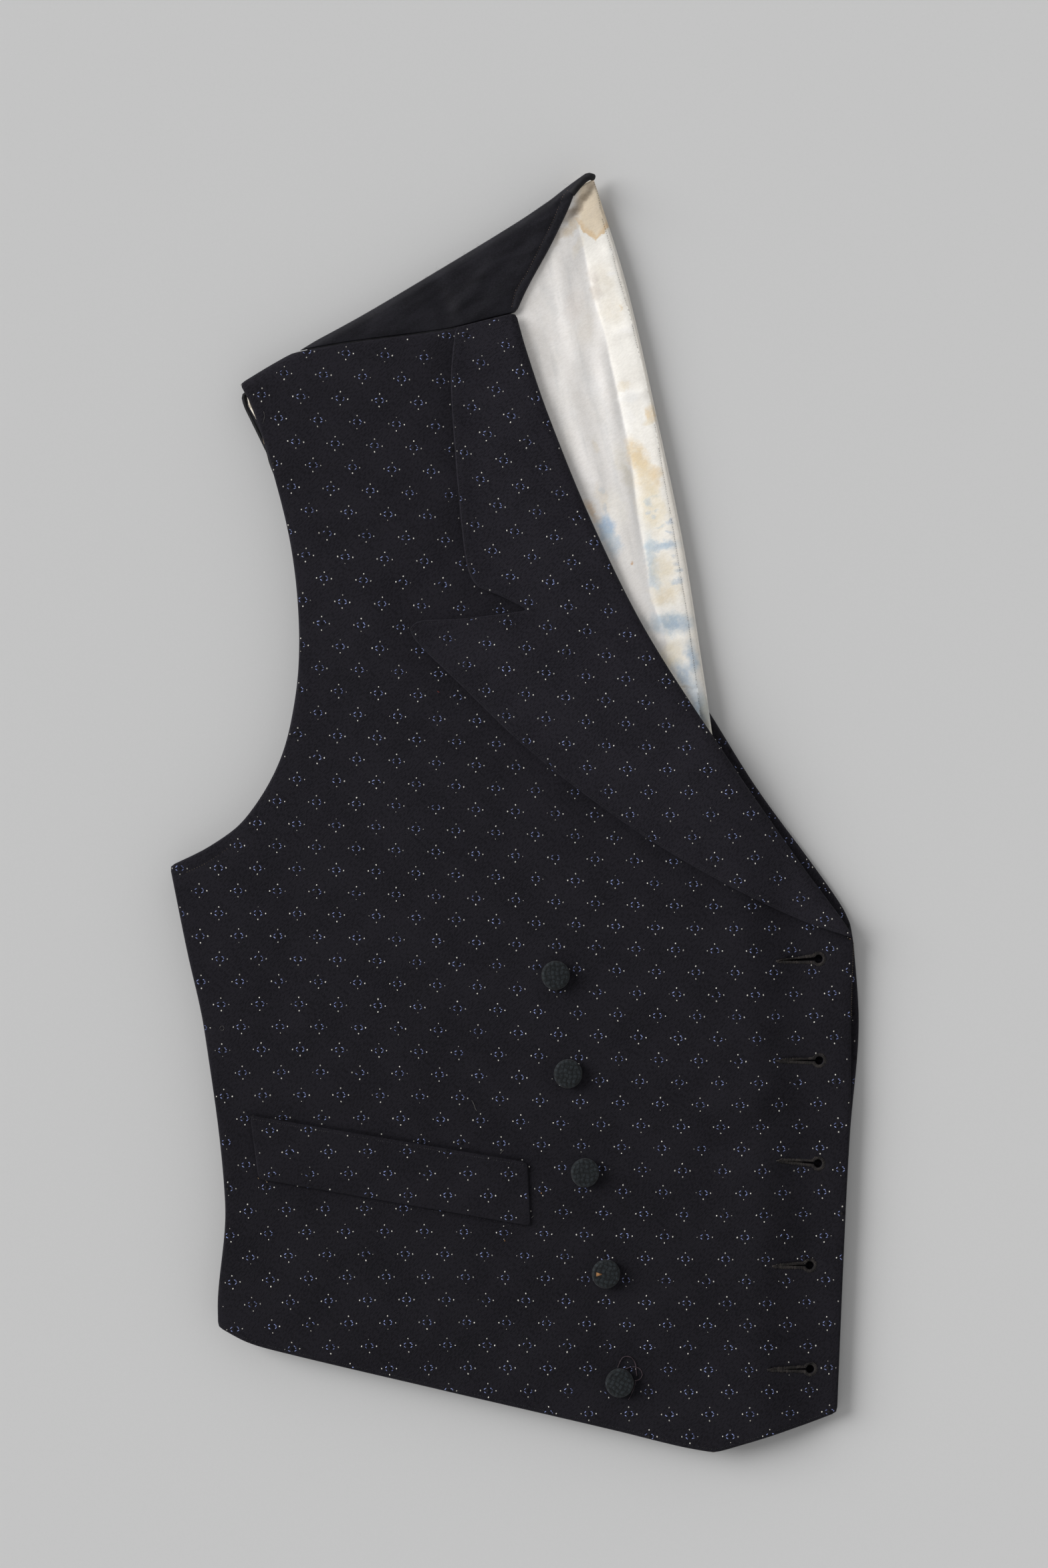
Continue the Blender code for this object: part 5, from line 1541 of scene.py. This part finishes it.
def frayedEdge():    # rows of thread that get shorter towards the cloth
    rows = []
    for k in range(frayValues["rows"]):
        part = beside(armholeLip, -frayValues["apart"] - frayValues["apart"] * k)
        below = part[:, 1] < frayValues["top"] - frayValues["topFalls"] * k
        above = part[:, 1] > frayValues["foot"] + frayValues["footRises"] * k
        rows.append(laidOn(part[below & above], frontFloor, frayValues["lift"] - frayValues["sinks"] * k))
    return rows


def armholeBand():    # along the strip, curled under at both ends
    strip = beside(edges["strip"], 0.95)
    head = smoothLine([(-130.4, 206.6), (-133.0, 208.6), (-135.0, 207.4), strip[3]], 1.0)
    foot = smoothLine([(-122.9, 179.0), (-121.4, 173.5), (-118.6, 166.5)], 1.0)
    return [laidOn(np.vstack([head, strip[4:-1], foot]), frontFloor, -1.3),
            laidOn(beside(edges["strip"], 2.2)[2:6], frontFloor, -1.7)]


def neckRoll():    # along the flap's end, and down at its tip
    line = smoothLine([(28.2, 307.6), (31.8, 312.0), (35.2, 315.2), (37.6, 316.3), (38.8, 316.2)], 0.6)
    return [laidOn(line, flapFloor, 1.2 - 2.2 * ease((line[:, 0] - 37.2) / 1.6))]


hemUnder = [np.vstack([edges["hemFront"][4:], edges["hemSide"][1:-2]]), edges["side"][3:-3]]
hemLines = [laidOn(beside(line, -0.12), frontFloor, 0.35) for line in hemUnder]
edgeThreads = [
    # name, lines, thread, radius, sides
    ("hem_edge_line", hemLines, "hem_brown", 0.18, 6),
    ("armhole_edge_line", [laidOn(beside(armholeLip, -0.1), frontFloor, 0.3)], "hem_brown", 0.16, 6),
    ("armhole_lining_edge", frayedEdge(), "lining_fray", 0.13, 6),
    ("armhole_band", armholeBand(), "band_black", 1.1, 12),
    ("neck_end_roll", neckRoll(), "band_black", 1.75, 16),
    ("shoulder_seam", [laidOn(edges["seam"][::-1][3:-1], frontFloor, 1.2)], "band_black", 0.42, 6),
]
for name, lines, thread, radius, sides in edgeThreads:
    threadRun(name, lines, thread, radius, sides)

looseThreads = [
    # name, thread, radius, lift, points
    ("button_thread_loop", "purple_thread", 0.2, 0.5,
     [(51.1, -276.6), (52.1, -274.2), (53.6, -271.7), (55.6, -271), (57.7, -271.5), (59.2, -273.1),
      (60, -275.2), (60.2, -277), (60.4, -279), (60.6, -280.7)]),
    ("button_thread_curl", "purple_thread", 0.22, 0.25,
     [(55.1, -277.2), (57.2, -276.6), (59.5, -276.3), (61.8, -277.1), (63, -278.7), (63.3, -280.5),
      (62.3, -282.2), (60.5, -283.1), (59.6, -283.3)]),
    ("button_thread_tail", "purple_thread", 0.13, 0.2,
     [(59.9, -283.8), (59.5, -285.9), (58.7, -288.2), (57.7, -290.5), (56.4, -292.8)]),
    ("lint_above_welt", "lint", 0.07, 0.12,
     [(-21.5, -143.8), (-20.6, -145.4), (-20, -147.2), (-19.2, -148.8)]),
    ("lint_by_welt", "lint", 0.06, 0.12, [(-5.7, -168.4), (-6.5, -169.2), (-7.3, -170.3)]),
    ("lint_curl", "lint", 0.06, 0.12, [(-146.6, -108.6), (-145.4, -108.9), (-144.8, -107.8), (-145.5, -106.7),
                                       (-146.6, -107.1), (-146.9, -107.9)]),
    ("lint_at_shoulder", "lint", 0.05, 0.12,
     [(-125.1, 199), (-124.7, 197), (-125, 194.8), (-125.6, 193)]),
    ("red_fibre", "red_thread", 0.09, 0.12, [(-38.6, 59.9), (-38.2, 59.5), (-37.7, 59.3)]),
    ("orange_fibre", "core_orange", 0.2, 0.1, [(13, -189.6), (13.2, -190.1)]),
    ("orange_fibre_low", "core_orange", 0.2, 0.1, [(-5.3, -213.5), (-4.9, -213.7)]),
    ("tack_at_tip", "lint", 0.07, 0.1, [(-137, 212.6), (-136.3, 212), (-135.7, 212.4)]),
    ("tack_at_break", "tan_thread", 0.14, 0.15, [(166.8, -63.4), (167.5, -63.6)]),
    ("tack_at_welt", "tan_thread", 0.16, 0.15, [(-127.9, -182.2), (-127.5, -182.8)]),
    ("tack_below_welt", "tan_thread", 0.15, 0.15, [(-123.8, -184.2), (-123.2, -184.5)]),
    ("tack_at_welt_end", "lint", 0.08, 0.15, [(8.2, -202.2), (9.2, -201.2)]),
]
for name, thread, radius, lift, points in looseThreads:
    threadRun(name, [laidOn(smoothLine(points, 0.5), frontTop, lift)], thread, radius)


def wornTip():    # on the fourth button, where its core shows
    x, y, _ = buttonValues["places"][3]
    level = buttonBase(x, y) + buttonValues["height"]
    return [[(43.1, y, level), (40.4, y + k, level - 0.02)] for k in (-0.8, -0.4, 0.0, 0.4, 0.8)]


hairValues = {"seed": 77, "from": 40, "every": 3, "together": 2, "lift": 0.8, "lean": (0.6, 3.0),
              "long": (0.8, 2.2), "bend": (-0.3, 0.3)}


def ridgeHairs():    # fine hairs that stand out of the ridge, but not near its tip
    draw = random.Random(hairValues["seed"])
    hairs = []
    for start in beside(ridgeLine, 0.0)[hairValues["from"]::hairValues["every"]]:
        for _ in range(hairValues["together"]):
            root = start + np.array([draw.uniform(-1.2, 1.2), draw.uniform(-0.6, 0.2)])
            lean, long = draw.uniform(*hairValues["lean"]), draw.uniform(*hairValues["long"])
            tip = root + long * np.array([math.cos(lean), math.sin(lean)])
            bend = np.array([draw.uniform(*hairValues["bend"]), draw.uniform(*hairValues["bend"])])
            level = float(flapFloor(root[0], root[1])) + hairValues["lift"]
            hairs.append([(*root, level), (*((root + tip) / 2 + bend), level + 0.3), (*tip, level + 0.2)])
    return hairs


threadRun("button_core_shows", wornTip(), "core_orange", 0.22)
threadRun("ridge_fuzz", ridgeHairs(), "lint", 0.025, 3)
print("seams sewn")


# Floor, light and camera
studio = {
    "floor": (0.6, 0.6, 0.6), "floorLow": (0.5, 0.5, 0.5), "floorHalf": 4000.0, "floorLevel": -0.3,
    "floorPatches": (900.0, 2.0, 0.5, 0.3, 0.7, 0.0, 0.06), "roughness": 0.9, "specular": 0.1,
    "sky": 0.2075, "skyRim": 8.0,
    "sunStrength": 3.0, "sunAngle": 39.0, "sunElevation": 27.3, "sunFrom": (-0.9455, 0.3256),
    "aim": (4.5, 13.67), "height": 2179.0, "lens": 100.0, "sensor": 36.0, "sees": 20.0,
}


def setFloor():
    half, level = studio["floorHalf"], studio["floorLevel"]
    floorPoints = [(-half, -half, level), (half, -half, level), (half, half, level), (-half, half, level)]
    table = newObject("pale_floor", floorPoints, [(0, 1, 2, 3)])
    material, tree, shader = newMaterial("pale_floor", studio)
    tone = patches(tree, objectPlace(tree), *studio["floorPatches"])
    colour = mixColour(tree, tone, rgba(studio["floor"]), rgba(studio["floorLow"]))
    tree.links.new(colour, shader.inputs["Base Color"])
    table.data.materials.append(material)


def setSky():    # soft and even, brighter towards the horizon
    world = bpy.data.worlds.new("studio")
    world.use_nodes = True
    sky = world.node_tree
    direction = put(sky, "ShaderNodeTexCoord").outputs["Generated"]
    upward = put(sky, "ShaderNodeSeparateXYZ", {0: direction}).outputs[2]
    low = math2(sky, "SUBTRACT", 1.0, math2(sky, "MAXIMUM", upward, 0.0))
    rimGlow = product(sky, product(sky, low, low), studio["skyRim"])
    strength = product(sky, math2(sky, "ADD", rimGlow, 1.0), studio["sky"])
    background = sky.nodes["Background"]
    background.inputs["Color"].default_value = (1, 1, 1, 1)
    sky.links.new(strength, background.inputs["Strength"])
    bpy.context.scene.world = world


def setSun():
    sun = bpy.data.lights.new("soft_key", "SUN")
    sun.energy = studio["sunStrength"]
    sun.angle = math.radians(studio["sunAngle"])
    lamp = bpy.data.objects.new("soft_key", sun)
    elevation = math.radians(studio["sunElevation"])
    fromX, fromY = (part * math.cos(elevation) for part in studio["sunFrom"])
    lamp.rotation_euler = Vector((fromX, fromY, math.sin(elevation))).to_track_quat("Z", "Y").to_euler()
    bpy.context.scene.collection.objects.link(lamp)


def setCamera():
    lens = bpy.data.cameras.new("camera")
    lens.lens = studio["lens"]
    lens.sensor_width = studio["sensor"]
    lens.clip_end = studio["sees"]
    camera = bpy.data.objects.new("camera", lens)
    camera.location = (studio["aim"][0] * mm, studio["aim"][1] * mm, studio["height"] * mm)
    bpy.context.scene.collection.objects.link(camera)
    bpy.context.scene.camera = camera


setFloor()
setSky()
setSun()
setCamera()
bpy.context.scene.view_settings.view_transform = "Standard"
